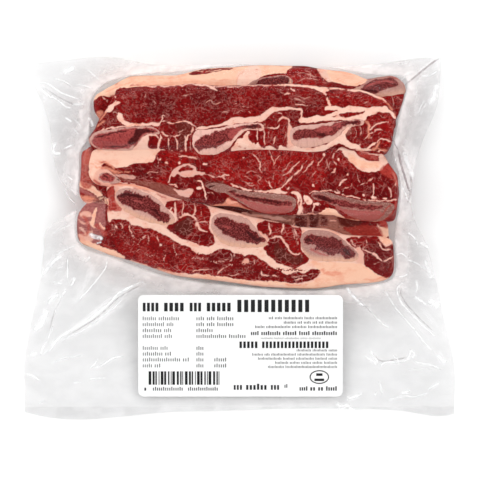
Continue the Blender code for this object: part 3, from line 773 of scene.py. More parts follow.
TOP_MIDDLE = Slab(
    outline=(
        -104.4, 56, -102.4, 60, -96, 61.4, -80, 62, -60, 62, -30, 62, 20, 64, 60, 66, 94, 62, 101, 57,
        104.5, 51, 108, 46, 110.4, 42, 111.2, 36, 111.8, 30, 111, 25, 110.2, 18, 109, 12.4, 106, 10.8, 98,
        10.4, 88, 10.6, 80, 11.6, 72, 13.4, 64, 15.2, 50, 15.2, 40, 15, 30, 15, 20, 15.8, 12, 17.2, 4,
        19.6, -2, 21, -10, 21.6, -20, 21.6, -26, 23.4, -34, 24.4, -42, 25.6, -50, 27.8, -58, 30.8, -66, 34,
        -76, 36, -88, 35.6, -96, 35.2, -101, 37, -104.6, 41.6, -105.8, 47),
    centre=(3.5, 38), slope=-0.16, level=31.2, thickness=9, step=SLICE_STEP, tone=0.6, veins=0.5,
    marks=TOP_MIDDLE_MARKS,
    strewn=(
        strewn(50, 3, 0.34, -18, 22, -90, 40, -88, 48, -64, 51, -58, 54, -57, 40),
        strewn(120, 2.2, 0.38, -25, 40, -57, 46, -57, 58, -10, 58, -12, 44, -30, 46),
        strewn(260, 1.5, 0.32, 50, 40, -10, 38, -20, 56, 8, 60, 56, 62, 60, 38, 20, 34),
        strewn(100, 3.8, 0.32, 52, 14, 14, 36, 14, 60, 62, 62, 62, 40, 36, 33),
        strewn(90, 2.4, 0.34, -45, 35, -14, 36, -20, 54, 12, 56, 16, 36),
        strewn(200, 1.3, 0.34, 60, 60, 60, 33, 64, 58, 78, 50, 96, 43, 110, 38, 110, 27, 84, 28),
        strewn(80, 2.8, 0.36, 55, 30, 60, 33, 64, 58, 78, 50, 96, 43, 110, 38, 110, 27, 84, 28),
        strewn(80, 1.6, 0.38, 70, 50, -48, 34, -46, 42, -32, 41, -12, 30, -14, 23, -34, 26),
        strewn(60, 1.7, 0.36, 80, 25, 40, 16, 40, 31, 58, 24, 58, 16)))

TOP_FRONT_MARKS = (
    pale(0, -98, 42, 112, 20, 114, -40, -100, -40), fat(0, -93, 12, -90, 18, -82, 16, -70, 11, -56, 7.6,
        -49, 4, -42, -1, -31, -5, -18, -5.6, -8, -8, 18, -8.4, 27, -19, 34, -20.4, 52, -18, 56, -26, 27,
        -26, 4, -14, -30, -14, -50, -3, -76, 7, -92, 10),
    blush(0, -96, 38, -95, 18, -88, 19, -84, 20, -84, 34, -70, 34.6, -60, 31, -54, 27, -50, 28, -70, 38),
    lean(0, -92.4, 33, -88.6, 35.2, -87.6, 31, -88, 25, -86.4, 20, -90, 18.6, -91.6, 22),
    bloody(0, -94, 19, -91, 34, -87.6, 33, -88, 26, -82, 20, -84, 17.6, -90, 18),
    fat(1.6, -93.6, 30, -92.8, 25, -94, 19), bloody(1.3, -90.6, 30.6, -90.4, 26, -91, 21),
    salmon(2, -91, 35.6, -84, 36.2, -76, 35.6, -68, 34, -60, 31),
    fat(2.4, -84, 34.6, -76, 35, -68, 33.4, -60, 30, -54, 26.4, -49.6, 22.6, -46, 18.6),
    bloody(0.9, -74, 33.8, -68, 32.6, -63, 30.6), bloody(0.9, -57, 29.6, -51, 26.2),
    blush(0, -56, 31, -46, 27, -50, 22, -54, 25),
    pale(1.5, -52, 29, -44, 26.4, -37, 24.6, -29, 23.2, -22, 21.6, -17, 20),
    lean(0, -51.4, 20, -50, 24, -45, 25, -38, 24.6, -30, 23.4, -24, 21.4, -20.8, 16, -21.6, 10, -21.4, 4,
        -18.6, 0.4, -17.6, -4, -21, -6.4, -26, -6.8, -31, -4.6, -36, -2.4, -42, -0.6, -47, 2.6, -51, 6.4,
        -46, 9, -43.4, 13, -46, 17.4), pale(1.4, -44.6, 24, -44.4, 18.4, -45, 14.6, -46.6, 12),
    seam(1, -39.6, 24, -39.4, 19, -40, 15.6), seam(1.1, -31.4, 22.6, -31, 17, -33, 14.6),
    pale(1.2, -47, 20, -48.6, 17.6), seam(0.9, -29, 9, -25, 9.6, -22, 8), vein(0.9, -27, 20, -26, 15),
    brown(0, -46, 7.6, -42, 10.4, -38, 13, -34, 12.6, -32.4, 8, -33, 3, -39, 1, -44, 3),
    dark(0, -48, 6, -36, 13, -30, 5, -20, 1, -20, -5, -34, -2, -42, 0),
    pale(1.7, -46.4, 10.4, -43.4, 12.4, -40.6, 14.4, -37, 15.4, -34, 15, -31.6, 13, -30.4, 10, -29, 6,
        -26.8, 4.2, -23, 3.2), lean(0, 12.6, 8.4, 17, 10, 24, 9.8, 30, 8.8, 37, 6.6, 42.4, 5.2, 43, 0,
        42.6, -5, 43.6, -10, 48, -15, 46, -18.4, 42, -21, 38, -23, 35.6, -21, 30, -20, 25, -16.8, 20.2,
        -12.4, 17.8, -8.6, 20.6, -5.4, 18, -1, 14, 3), pale(1.2, 30.6, 8.6, 30.6, 5, 29, 2),
    seam(1, 38.4, 6, 39.4, 1, 41.6, -5),
    brown(0, 26, -4, 32, -10, 38, -14, 44, -13, 44, -19, 32, -18, 24, -12),
    dark(0, 22, -3, 28, -1, 36, -12, 47, -13, 42, -21, 28, -18, 19, -9),
    pale(1.4, 22, -1.4, 24, -1, 27, 0.3, 29.4, -0.8, 31.2, -4, 34, -8, 37, -11.8, 40, -12.8, 42.4, -12),
    pale(1.4, 20.9, 9, 21.4, 4, 21, -1, 19.4, -5), vein(0.8, 37, 5.6, 38.4, 0.6, 41, -5),
    seam(0.8, 17, 2, 19, -0.6), blush(0, 14, 3.6, 18, 0.6, 20, -3, 18, -5.6, 15, -2, 13, 1),
    lean(0, 75.6, -2, 78, -1.2, 82.6, -1, 83.6, -4.6, 83, -8, 80, -7, 77.6, -4.6),
    seam(0.9, 78, -2, 79.8, -5.4, 83, -7.6),
    blush(0, 82, -8.6, 85, -8, 88, -11, 87.6, -15, 88, -19, 84, -19.6, 82, -17, 83.6, -13),
    lean(0, 84.6, -1.4, 95, -0.8, 99, -4, 103, -7.6, 108.6, -6, 109, -16, 108.6, -25, 104, -28.6, 100, -29,
        95, -26.8, 90.4, -22.6, 87.4, -18, 87.6, -12, 84.6, -7),
    dark(0, 88, -3, 88, -24, 104, -26, 106, -10, 96, -4),
    pale(1.2, 86.8, -9.4, 92, -11.4, 96, -14, 99, -17, 101.4, -18, 104, -16.6, 108, -14.4),
    pale(1, 98, -4, 100, -8, 103, -9.6, 106.4, -9), seam(0.8, 89, -2.6, 88.6, -6.6, 87, -9.4),
    cream(0, 98, 0.6, 105, -0.6, 106.6, -3, 105.4, -4.6, 102.6, -5.2, 100.4, -3.8),
    vein(0.8, 94, -19.6, 98, -18.8), lean(0, -94.4, 10, -91.4, 9.4, -88, 11.4, -84, 12.2, -80, 11.4, -77.2,
        9.2, -76, 7.2, -70, 6.2, -62, 4.4, -56, 1.8, -50, -1.2, -45, -4.2, -40, -6.2, -35, -8.2, -32,
        -10.8, -30, -12.8, -26, -13.2, -20, -12.2, -16, -10.6, -10, -9.6, -6, -10.2, -4.6, -12, -3.6,
        -12.8, -1, -12, 2, -12.4, 4, -14, 6, -13, 10, -13.2, 14, -15.2, 18, -18.8, 22, -22.2, 27, -24.2,
        31, -26.2, 34, -27.2, 38, -25.8, 46, -25.6, 52, -23.6, 56, -23, 57.4, -24, 53, -28.4, 48, -31, 40,
        -32, 32, -32.6, 24, -31.8, 16, -30.8, 8, -30.4, 0, -31, -6, -30.2, -12, -29.2, -16, -27.6, -24,
        -26.8, -34, -25.8, -42, -25.4, -56, -23.4, -66, -19.8, -76, -16.6, -83, -12.6, -87, -8.4, -90,
        -3.4, -93, 3), cream(0, 50, -17.8, 56, -23, 58, -26, 54, -30, 46, -33, 30, -34, 40, -38, 70, -36,
        96, -34, 104, -30, 100, -28.4, 96, -26.4, 90, -22.4, 84, -19, 70, -18.6),
    salmon(1.8, 56, -24.6, 59, -23, 60, -25.4), salmon(3.4, 60, -26, 66, -26.4, 71, -26),
    salmon(1.2, 88, -31, 96, -30.4, 102, -28.6),
    cream(2.6, 50, -34, 36, -34.4, 20, -33.2, 4, -32, -10, -30.2, -22, -28.6, -36, -27.6),
    salmon(1.3, 48, -33.6, 38, -34.2, 32, -34), salmon(0.8, 26, -35.2, 6, -33.2, -14, -30.6, -34, -28.2),
    blush(1.8, -22, -28.8, -8, -30.8, 8, -32.2), salmon(1.4, -40, -27.2, -52, -24.6, -60, -21.6),
    seam(1.5, -34, -16, -28, -15.4, -21, -16), vein(1.6, -20, -18.4, -14, -17.6, -8, -16),
    seam(1, -34, -24.4, -28, -23.6, -22, -24), seam(1.1, -16, -26.6, -12.6, -23.4, -9, -20.6),
    pale(1.4, -10, -21.4, -8.4, -20, -5.6, -19.4),
    blush(0, 2.4, -18.6, 3.4, -15.6, 5.6, -16, 6.4, -18.8, 4, -19.8),
    seam(0.8, -6, -12.6, -5.4, -16, -7, -18), vein(1, -3.4, -12.4, -4, -15.4),
    pale(0.9, 15.6, -24, 16.4, -26.8, 20, -28.2, 24, -28, 27.4, -29), seam(0.9, 10.6, -16.4, 11.4, -19.4),
    vein(0.9, 8, -17.6, 7, -20), vein(0.9, 2, -23, 5, -24, 4, -26),
    vein(0.9, 36, -29, 44, -27.8, 52, -26.4), pale(0.8, 39, -30.4, 44, -29.8),
    vein(1, -9, -27, -4, -27.6, 0, -26.6), fat(1.8, -56, -5.6, -54.4, -6.6),
    seam(1, -67, -11.4, -63, -13.6, -59, -12.8),
    seam(1.1, -77.4, 9, -77, 5, -75, 1.6, -73.4, -2, -74.6, -6), fat(1.5, -87, 7.2, -85.8, 6.4),
    seam(1, -90, 9, -88, 6, -88.4, 3, -90, 1), seam(1, -84, 10, -82.4, 7, -84, 4.4),
    seam(1, -72, -6, -70, -2, -66, 0), seam(0.9, -78, -10, -74, -10.6, -70, -9),
    seam(0.9, -53, -9, -52, -14, -53, -18), seam(0.9, -66, 3, -64, -1, -65, -5),
    seam(0.9, -58, 0, -57, -3), seam(0.9, -46, -6, -45, -11, -42, -15),
    dark(0, -28, -12, -6, -11, 24, -24, 56, -24, 50, -31, 20, -30, -10, -28, -20, -20),
    bright(0, -92, 2, -88, -8, -60, -20, -36, -24, -34, -10, -60, 3, -80, 8),
)
TOP_FRONT = Slab(
    outline=(
        -92.8, 34, -90, 36.4, -85, 37, -75, 36.6, -66, 34.9, -58, 31.6, -50, 28.8, -42, 26.3, -35, 24.6,
        -26, 22.8, -20, 20.9, -12, 18.9, 0, 16, 8, 13.6, 15, 12.2, 25, 10.2, 35, 8, 42, 6.4, 50, 5.8, 60,
        5.2, 66, 3.4, 72, 1.2, 78, 0.4, 88, 0, 98, -0.2, 104, -1.4, 107, -4.4, 108, -11, 108.4, -20, 107.4,
        -26, 103, -30, 94, -32.2, 80, -33.1, 70, -34, 60, -35.6, 50, -36.4, 35, -36, 20, -35.4, 10, -34.4,
        0, -33, -10, -31.6, -20, -30.3, -35, -28.8, -45, -27.2, -55, -24.2, -65, -20.6, -75, -17.4, -84,
        -13.4, -88, -8.6, -91, -3.4, -93.6, 2, -94.4, 8, -93.6, 16, -93.2, 26),
    centre=(6, 0), slope=0.25, level=40, thickness=9, step=SLICE_STEP, tone=0.55, veins=0.9,
    marks=TOP_FRONT_MARKS,
    strewn=(
        strewn(300, 2.4, 0.36, 30, 70, -94, 8, -78, 8, -48, -4, -32, -12, -32, -25, -60, -20, -84, -12),
        strewn(150, 2.6, 0.38, -4, 14, -34, -13, -8, -12, 8, -18, 4, -28, -34, -25),
        strewn(130, 1.6, 0.38, 10, 40, -4, -13, 12, -15, 30, -27, 54, -25, 40, -31, 0, -30),
        strewn(70, 1.4, 0.36, 70, 40, -50, 6, -44, 24, -24, 21, -19, -2, -34, -3),
        strewn(80, 1.4, 0.36, 60, 40, 13, 8, 30, 8, 42, 4, 46, -18, 36, -22, 18, -9),
        strewn(60, 1.6, 0.36, -20, 40, 86, -3, 106, -8, 106, -26, 92, -21, 87, -12)))

LOWER_MIDDLE_MARKS = (
    bloody(0, -112, 60, -112, 38, -104, 34, -102, 46, -104, 60),
    blush(0, -109, 58, -106, 60, -105, 54, -107, 50), seam(1.2, -110, 54, -107.4, 48, -108, 42),
    dark(0, -110, 50, -108, 40, -105, 40, -106, 50), vein(1.2, -111, 47, -106, 45),
    vein(1, -110, 40, -106, 42), cream(0, -114, 39.4, -109, 37.4, -104, 36, -100, 33, -96, 28.4, -91, 24.6,
        -92, 21, -96, 23.6, -99, 27, -103, 30.6, -108, 33.6, -114, 36),
    salmon(0.9, -110, 35.6, -104, 33, -99, 29.6),
    mauve(0, -114, 35.6, -108, 33, -103, 29.8, -100, 26.6, -103, 27, -108, 30.4, -114, 33),
    salmon(0, -114, 29, -106, 28.6, -100, 26, -97, 23.6, -104, 24, -114, 25.6),
    # This pale pink blush is a painted highlight: a glare on the film over the slice's left end
    blush(0, -114, 25, -106, 24.4, -96, 23, -94, 19, -106, 18),
)
LOWER_MIDDLE = Slab(
    outline=(
        -107, 61, -110.6, 58, -111, 50, -111.4, 42, -112.4, 35, -111.6, 28, -108, 24, -100, 21, -60, 20, 0,
        22, 60, 24, 98, 26, 100, 50, 60, 60, 0, 62, -60, 62, -100, 63),
    centre=(-7, 44), slope=0, level=21, thickness=10, step=HIDDEN_STEP, tone=0.7, veins=0.9,
    marks=LOWER_MIDDLE_MARKS,
    strewn=(
        strewn(190, 1.8, 0.5, 60, 50, -111, 58, -111, 38, -103, 36, -103, 60),))

LOWER_FRONT_MARKS = (
    mauve(0, -118, 22, -118, -4, -106, -8, -96, 0, -96, 26), lean(2, -104, 4, -101, 9, -100, 14),
    bloody(2.4, -109, 14, -106, 8, -108, 1), dark(1.6, -112, 8, -110, 3),
    pale(1, -107, -3, -104, 1, -104, 6), blush(0, -114, 2, -111, -3, -105, -4, -102, 0, -105, 3, -110, 2),
    blush(1.6, -113, 12, -109, 9, -105, 10), bloody(1.6, -110, 14, -107, 11, -108, 6),
    bloody(1.2, -112, 4, -109, 0.6), blush(0, -112, 16, -108, 18, -104, 16, -106, 13, -110, 13),
    dark(0, -107, 12, -105, 6, -104, 2, -102, 6, -104, 12), pale(1.6, -112, 16, -108, 13.6, -104, 14.6),
    pale(1.2, -113, 6, -109, 3, -107, -2),
    lean(0, -101.4, 12, -100, 17.6, -97.6, 19.8, -94.6, 18, -93, 12, -95, 7, -98, 8),
    dark(0, -101, 12, -98, 19, -94, 16, -96, 9), cream(2.6, -101, 19.6, -102.6, 14, -103.4, 9, -101.6, 6),
    cream(1.8, -98.4, 9, -96.6, 6.4, -94, 5),
    orange(0, -102, 7.6, -99.6, 8.8, -96, 5.6, -93.6, 2, -94.6, -0.6, -98, 3.4),
    cream(4.6, -111, -3.4, -104, -6.4, -96, -9.4, -88, -12.6, -82, -14.6),
    orange(1, -97, -5, -92, -7.6, -88, -10.6),
    # The strip between the top middle and top front slices: its dark and brown bands are partly the slice's
    # own colour and partly painted shade of that deep valley
    beige(0, -26, 26, -22, 14, 6, 8, 40, 4, 78, 1, 80, 16, 40, 19, 8, 23),
    brown(0, -24, 26, -20, 18, -4, 15, 8, 14, 4, 21), dark(0, -20, 24, -16, 18, 0, 15.4, 8, 15, 2, 20),
    dark(3, 0, 18, 6, 16.4), beige(1.2, 10, 15.4, 22, 13.6, 34, 12.4), beige(0.8, 4, 14.4, 16, 12, 30, 10),
    seam(2.6, 2, 15.8, 12, 14.6, 22, 13.2, 34, 11.4), brown(1, 6, 12.8, 18, 11, 34, 8.8),
    seam(1.8, 35, 11.6, 38.4, 10.4, 38, 8), brown(0.8, -6, 16.4, 6, 14.4), pale(1.2, 63, 11, 68, 11.6),
    brown(0, 39.4, 13.8, 47, 14.2, 47, 7, 40, 6.6), brown(0, 48.8, 14.2, 55.6, 14.2, 55.6, 6.8, 49, 6.8),
    brown(0, 57, 13.4, 61.6, 13, 62, 7.8, 57.4, 7.2), dark(0, 41, 12.6, 46, 12.6, 46, 8, 41, 8),
    dark(0, 50, 12.8, 54.6, 12.8, 54.6, 8, 50, 8), dark(2.6, 59, 12.4, 60, 8.6),
    beige(1.4, 48, 15.4, 48, 6), beige(1.4, 56.4, 15, 56.4, 6),
    beige(0, 62.6, 14.6, 70, 15, 74, 12, 72, 9, 66, 8, 63, 10), pale(1.6, 69, 8.6, 69.4, 10.4),
    beige(0, 66, 5.4, 74, 5.4, 82, 2.4, 84, 0, 70, 1), lean(0, 70, 14, 72, 7, 98, 6.4, 98.6, 12, 84, 15),
    brown(0, 70, 14, 72, 7, 84, 7, 86, 12), dark(0, 66, 8, 74, 7, 86, 9, 98, 8.4, 98, 11.4, 80, 12.6),
    orange(0, 73, 5.6, 80, 7, 90, 7.4, 97.6, 7, 99, 0, 84, -2, 78, 2),
    blood(0, 83, 1.6, 90, 2.4, 98, 2.2, 100, -1, 84, -1.6), dark(2, 94, 5, 95, 4.4),
    cream(0, 97.6, 8.6, 98.6, 3, 101, -1.4, 105, 0, 105.4, 5, 103, 6.6, 100, 6),
    bloody(0, 99, 11, 100, 6.6, 104, 5.4, 104, 10),
)
LOWER_FRONT = Slab(
    outline=(
        -106, 24, -110, 20, -113.2, 15, -114, 8, -113.4, 0, -111, -4.4, -104, -7.6, -96, -10.8, -88, -13.6,
        -60, -20, 0, -26, 60, -26, 98, -22, 104, -8, 104.6, 2, 103.6, 9, 99, 12.6, 84, 15, 60, 17.4, 20,
        22, -30, 28, -70, 34, -100, 30),
    centre=(-7, 8), slope=0.07, level=19.4, thickness=10, step=HIDDEN_STEP, tone=0.35, veins=0.5,
    marks=LOWER_FRONT_MARKS,
    strewn=(
        strewn(60, 2.6, 0.5, -4, 20, 38, 14, 40, 6, 64, 6, 62, 14),
        strewn(90, 2.2, 0.5, 60, 70, -114, 18, -114, -4, -104, -7, -96, 2, -96, 20)))

UNDER_BACK_MARKS = (
    fat(4, -92, 99, -60, 106, 0, 109, 50, 108),
    fat(2.6, -93, 92, -60, 90, -20, 92, 20, 95, 60, 91, 98, 92), seam(1.4, -40, 91, -34, 80, -30, 72),
    seam(1.4, 30, 94, 36, 84, 34, 72),
)
UNDER_BACK = Slab(
    outline=(
        -94, 96, -95, 82, -88, 75, -40, 72, 20, 71, 80, 73, 97, 78, 99, 90, 96, 101, 80, 107, 20, 111, -40,
        109, -80, 104),
    centre=(0, 92), slope=0, level=0, thickness=9, step=HIDDEN_STEP, tone=0.4, veins=0.7,
    marks=UNDER_BACK_MARKS,
    strewn=(
        strewn(300, 3, 0.9, 10, 40, -92, 76, -92, 100, 96, 104, 96, 76),))

UNDER_MIDDLE_MARKS = (
    fat(4.4, -98, 60, -70, 65.6, -30, 67.4, 10, 67),
    fat(2.6, -99, 52, -60, 49, -20, 51, 20, 52, 60, 48, 100, 50), seam(1.4, -36, 50, -30, 40, -32, 29),
    seam(1.4, 34, 51, 38, 40, 36, 28),
)
UNDER_MIDDLE = Slab(
    outline=(
        -99, 60, -100, 44, -95, 34, -40, 30, 20, 29, 80, 30, 99, 34, 101, 48, 98, 60, 80, 67, 20, 69, -40,
        69, -88, 67),
    centre=(2, 48), slope=0, level=0, thickness=9, step=HIDDEN_STEP, tone=0.55, veins=0.8,
    marks=UNDER_MIDDLE_MARKS,
    strewn=(
        strewn(300, 3, 0.9, 20, 40, -96, 34, -96, 62, 98, 62, 98, 34),))

UNDER_FRONT_MARKS = (
    fat(4.4, -94, -3, -80, -9, -40, -17, 20, -23, 60, -24),
    fat(2.8, -98, 8, -60, 5, -20, 1, 20, -3, 60, -4, 97, -2), seam(1.4, -36, 2, -32, 12, -36, 25),
    seam(1.4, 32, -3, 36, 8, 34, 22),
)
UNDER_FRONT = Slab(
    outline=(
        -98, 22, -99, 4, -94, -5, -80, -12, -40, -20, 20, -26, 70, -27, 93, -23, 98, -6, 95, 10, 80, 20,
        20, 26, -40, 28, -88, 28),
    centre=(-4, 2), slope=0, level=0, thickness=9, step=HIDDEN_STEP, tone=0.5, veins=0.9,
    marks=UNDER_FRONT_MARKS,
    strewn=(
        strewn(300, 3, 0.9, -10, 40, -94, -2, -96, 24, 94, 12, 94, -20),))

SLICES = {
    "slice_back": BACK, "slice_top_back": TOP_BACK, "slice_top_middle": TOP_MIDDLE,
    "slice_top_front": TOP_FRONT, "slice_lower_middle": LOWER_MIDDLE, "slice_lower_front": LOWER_FRONT,
    "slice_under_back": UNDER_BACK, "slice_under_middle": UNDER_MIDDLE, "slice_under_front": UNDER_FRONT,
}

# The rib bones' cut ends. ring, cream and light run from 0, a brown ring, no cream and dark marrow, to 1
BONES = {
    "bone_back_middle": Bone(
        (4.6, 105.4, 9, 108.9, 14, 111.2, 20, 112.4, 28, 113.4, 33, 113, 36.4, 110.9, 37.4, 107.4, 30,
         104.6, 16, 104),
        (11, 106.4, 14, 109.4, 20, 110.9, 28, 111.9, 33, 111.4, 34.6, 108, 30, 105.6, 16, 105),
        0.5, 0.1, 0.05, 0.8, (
            grey(2.2, 8, 106.6, 12, 108.8), pale(1.2, 35.6, 110, 36.4, 107))),
    "bone_back_right": Bone(
        (80, 103, 85, 106.2, 90, 109.6, 96, 111.4, 102, 112.4, 107, 112.8, 112, 110.8, 116, 106.4, 116.4,
         101, 112, 99.6, 106, 98.2, 100, 97.6, 95, 98.2, 90, 100.6),
        (85, 103.4, 90, 107, 96, 109.4, 104, 110.9, 109, 110.2, 111.6, 107, 110, 105.2, 103, 104.4, 98,
         102, 94, 100.6, 89, 101.6),
        0.55, 0.5, 0.1, 0.5, (
            mauve(1.6, 88, 104.4, 96, 107.6, 104, 109, 110, 108), bloody(1.0, 108, 112.2, 112, 110.4),
            dark(1.6, 90, 102, 96, 101.6))),
    "bone_top_back_left": Bone(
        (-105.4, 68, -102, 72.2, -98, 73.8, -90, 75.1, -80, 76.5, -72, 77.1, -66, 77.4, -60, 76.5, -56.4,
         74.5, -55.4, 72, -58, 70.9, -62, 71.3, -66, 70.2, -70, 66.6, -73.4, 62.8, -76, 60.3, -85, 60, -95,
         60.4, -101, 62.2, -104.4, 65),
        (-103, 66.6, -100, 70.8, -92, 72.4, -84, 74, -76, 75, -71, 75, -65, 75.5, -59, 74.8, -57.8, 73,
         -63, 72.8, -68, 70.4, -72, 66, -76, 63, -82, 61.8, -90, 61.6, -97, 62.2, -101, 64),
        0.75, 0.15, 0.85, 0.5, (
            dark(1.4, -101, 69.2, -94, 71, -86, 72.8, -79, 73.6),
            dark(0, -73, 74.6, -66, 75.2, -60, 74.4, -58.4, 73.2, -63, 73, -68, 71, -72, 66.4, -76, 64,
                 -78, 66, -74, 70), dark(1.1, -92, 63, -84, 62.8, -78, 64))),
    "bone_top_back_middle": Bone(
        (-33.4, 67, -32, 72.4, -29.6, 74.8, -22, 75.3, -14, 76.3, -6, 78, 0, 79.1, 6, 79.5, 13, 79.7, 16.2,
         78.6, 17.4, 76, 15.6, 74.4, 8, 74.4, 4, 73.4, 0, 69.8, -3, 66.4, -6, 62.8, -10, 59.8, -16, 57.4,
         -22, 56.6, -29, 57.8, -32.6, 62),
        (-31, 64.4, -28, 68.2, -22, 71.2, -14, 73.2, -8, 75, 0, 76.5, 6, 77.3, 13, 77.7, 13.8, 75.4, 6,
         75.6, 0, 74, -3, 71, -5, 68.2, -9, 66, -14, 63.4, -20, 61.6, -26, 60.6, -29.6, 61.4),
        1.0, 0.3, 0.3, 0.7, (
            mauve(0, -8, 70, -6, 74.4, 0, 76, 2, 74.4, -2, 71.4, -5, 68.6), dark(1.6, 5, 76.4, 12, 76.8),
            dark(1.2, -10, 68, -16, 64.6))),
    "bone_top_back_right": Bone(
        (34.6, 70, 35.6, 74.8, 40, 77.4, 46, 78.3, 56, 79.2, 66, 80.5, 76, 81.4, 85, 82, 87.4, 80, 86,
         77.6, 80, 76.8, 75.6, 75.8, 72, 72.8, 69, 69.2, 64, 66, 56, 63.2, 48, 61.8, 41, 62.2, 36.6, 65),
        (37.6, 70.6, 40, 74.2, 48, 74.6, 56, 76, 62, 77, 66, 78.4, 74, 80, 83, 80.6, 84.4, 78.6, 76, 78,
         70, 75, 66, 72.2, 60, 69.8, 52, 69, 44, 68.2, 38.6, 67.8),
        0.85, 0.3, 0.25, 0.6, (
            pink(0, 53, 74, 57, 76.4, 62, 77, 65, 75.6, 62, 73, 56, 72.8), dark(2.2, 55, 71, 60, 70.8),
            dark(1.4, 74, 79, 83, 79.6), mauve(2.0, 64, 77, 70, 78, 68, 75))),
    "bone_top_middle_left": Bone(
        (-99, 40, -98, 44, -94, 45, -88, 43, -84, 40.6, -82.6, 38.6, -86, 37, -91, 36.8, -96, 37.6),
        (-97, 41, -95, 43.6, -91, 43, -88, 41.4, -89, 39, -94, 38.6),
        0.7, 0.0, 0.75, 0.4, (
            dark(1.4, -95, 42, -92, 40.6), dark(1.2, -85.6, 39.6, -84, 38.8))),
    "bone_top_middle_middle": Bone(
        (-24.6, 35, -20.4, 37.6, -12, 37.2, -8, 35.8, 0, 33, 10, 31.2, 20, 30.6, 30, 29.6, 36, 28.6, 39.8,
         25.6, 39.9, 21.6, 37.4, 17.8, 33, 16.4, 26, 15.8, 18, 16.4, 10, 18.8, 3, 22, -3, 25.8, -10, 29.8,
         -18, 31.4),
        (-7, 32, -2, 30, 6, 28, 16, 26.4, 26, 25, 35.6, 24.4, 36, 22, 28, 21.8, 18, 23, 8, 25.4, 0, 27.6,
         -6, 30.4),
        0.3, 0.0, 0.25, 0.7, (
            dark(1.4, -2, 29.4, 6, 27.4, 18, 25.2, 30, 23.6),
            pink(0, 0, 26.6, 8, 24.4, 18, 21.8, 30, 21, 37, 20.6, 34, 17, 24, 16.4, 14, 18, 4, 22.4),
            bloody(1.3, 8, 19.8, 16, 17.4, 26, 16.4, 34, 17), dark(1.6, -21.6, 35, -18, 36),
            dark(1.0, -8, 31.6, -2, 31.4))),
    "bone_top_middle_right": Bone(
        (49.8, 28, 52, 30.9, 58, 31.3, 63, 30.9, 68, 29.3, 76, 27.5, 84, 25.8, 92, 24.7, 100, 24.4, 106,
         23.8, 109, 21, 107, 16.8, 102, 12.2, 98, 10.9, 88, 10.9, 80, 12.8, 72, 16.8, 66, 20.8, 60, 24, 53,
         25.4),
        (51.4, 28, 55, 28.9, 61, 27, 70, 25, 80, 22.8, 90, 21.6, 99, 21.4, 99.6, 19.8, 90, 19.4, 80, 20.2,
         70, 22, 62, 24.6, 56, 26.4),
        0.2, 0.0, 0.2, 0.7, (
            pink(0, 66, 21.6, 76, 19, 88, 18, 97, 18, 100, 14.4, 96, 12, 88, 12, 80, 14, 72, 17.8),
            dark(2.2, 53, 27.8, 58, 27, 64, 25),
            bloody(1.0, 64, 21.6, 72, 17, 80, 13.2, 88, 11.4, 96, 11.4),
            bloody(1.2, 98, 13, 102, 17.6, 106, 22))),
    "bone_top_front_left": Bone(
        (-87.2, 29, -85.2, 32.4, -80, 33.8, -74, 33.6, -68, 31.8, -62, 29.2, -57, 26.2, -53, 22.2, -49.6,
         18.2, -46, 14, -44.9, 11.4, -46.6, 8.9, -52, 7.4, -58, 8.2, -65, 10.2, -73, 13.4, -80, 16.8, -84,
         20.4, -86.6, 24.6),
        (-85, 27, -84, 29.8, -80, 30.8, -75, 30.8, -70, 29.2, -65, 27.3, -60, 24.1, -56, 20, -52, 16,
         -48.8, 13.4, -49.6, 11.2, -53, 10.4, -58, 11.6, -60, 14, -65, 16.6, -70, 18, -75, 19.6, -80, 22,
         -83, 24),
        0.8, 1.0, 0.12, 1.3, (
            dark(2.2, -84, 28.4, -76, 29.4, -68, 27), dark(2.0, -62, 20, -55, 14),
            cream(1.6, -62, 18.6, -61, 17.6), mauve(1.6, -74, 25, -68, 22.6))),
    "bone_top_front_middle": Bone(
        (-20.2, 9, -19.2, 13, -15.2, 16.1, -8, 16.2, 0, 14.5, 6, 12.1, 10.2, 8, 13.4, 3.6, 16.4, 0, 18.6,
         -2.4, 19.4, -4.8, 17.8, -7.6, 10, -8.2, 0, -8, -8, -6.8, -14, -3.8, -18.2, 1.4, -20.2, 5.4),
        (-17.4, 10, -15.6, 12.8, -11, 12.8, -6, 11.2, 0, 9.8, 5, 7.5, 8.4, 4, 12.4, 0.6, 16.4, -1.6, 18,
         -3, 14, -5, 9, -4.6, 4, -3.4, 0, -2, -4, -0.6, -8, 0.6, -12, 2.6, -15, 6),
        0.75, 1.0, 0.1, 1.3, (
            dark(2.4, 4, 4, 10, -1, 15, -3.4), mauve(1.6, -12, 7, -6, 6), cream(1.0, -8, 1.8, -4, 1.2))),
    "bone_top_front_right": Bone(
        (42.6, -4, 43.4, 1.2, 48, 4.2, 56, 4.3, 62, 3.6, 68, 1.2, 73, -1.8, 76.4, -5.6, 80.2, -8, 83.4,
         -12, 83.8, -16, 80, -18, 66, -18, 54, -17.6, 48, -14.8, 44.4, -10.2),
        (45.8, -2, 47, 0.2, 52, 0.8, 58, -0.4, 64, -0.8, 70, -2.8, 72, -5.8, 75, -7.8, 79, -8.8, 80.8,
         -11.6, 79, -14.2, 76, -15.8, 72, -13, 68, -11.6, 65, -12.8, 61, -11.6, 58, -10, 54, -10.4, 53, -7,
         50, -6, 47, -4.4),
        0.6, 1.0, 0.12, 1.2, (
            dark(3.0, 73, -9.6, 77, -13), dark(2.0, 47, -2.6, 51, -3.6),
            blush(1.6, 50, -8.6, 55, -12, 62, -13.6))),
}


def rib_end(x, y, turn, ring, light):
    """A plain rib end that only the underside shows."""
    angle = np.linspace(0, math.tau, 12, endpoint=False)
    c, s = math.cos(math.radians(turn)), math.sin(math.radians(turn))
    made = []
    for size in (1.0, 0.72):
        along = 22 * size * np.sign(np.cos(angle)) * np.abs(np.cos(angle)) ** 0.8
        across = 7 * (size - 0.08) * np.sin(angle)
        made.append(np.stack((x + along * c - across * s, y + along * s + across * c), 1))
    return Bone(*made, ring, 0.3, light, 0.8, ())


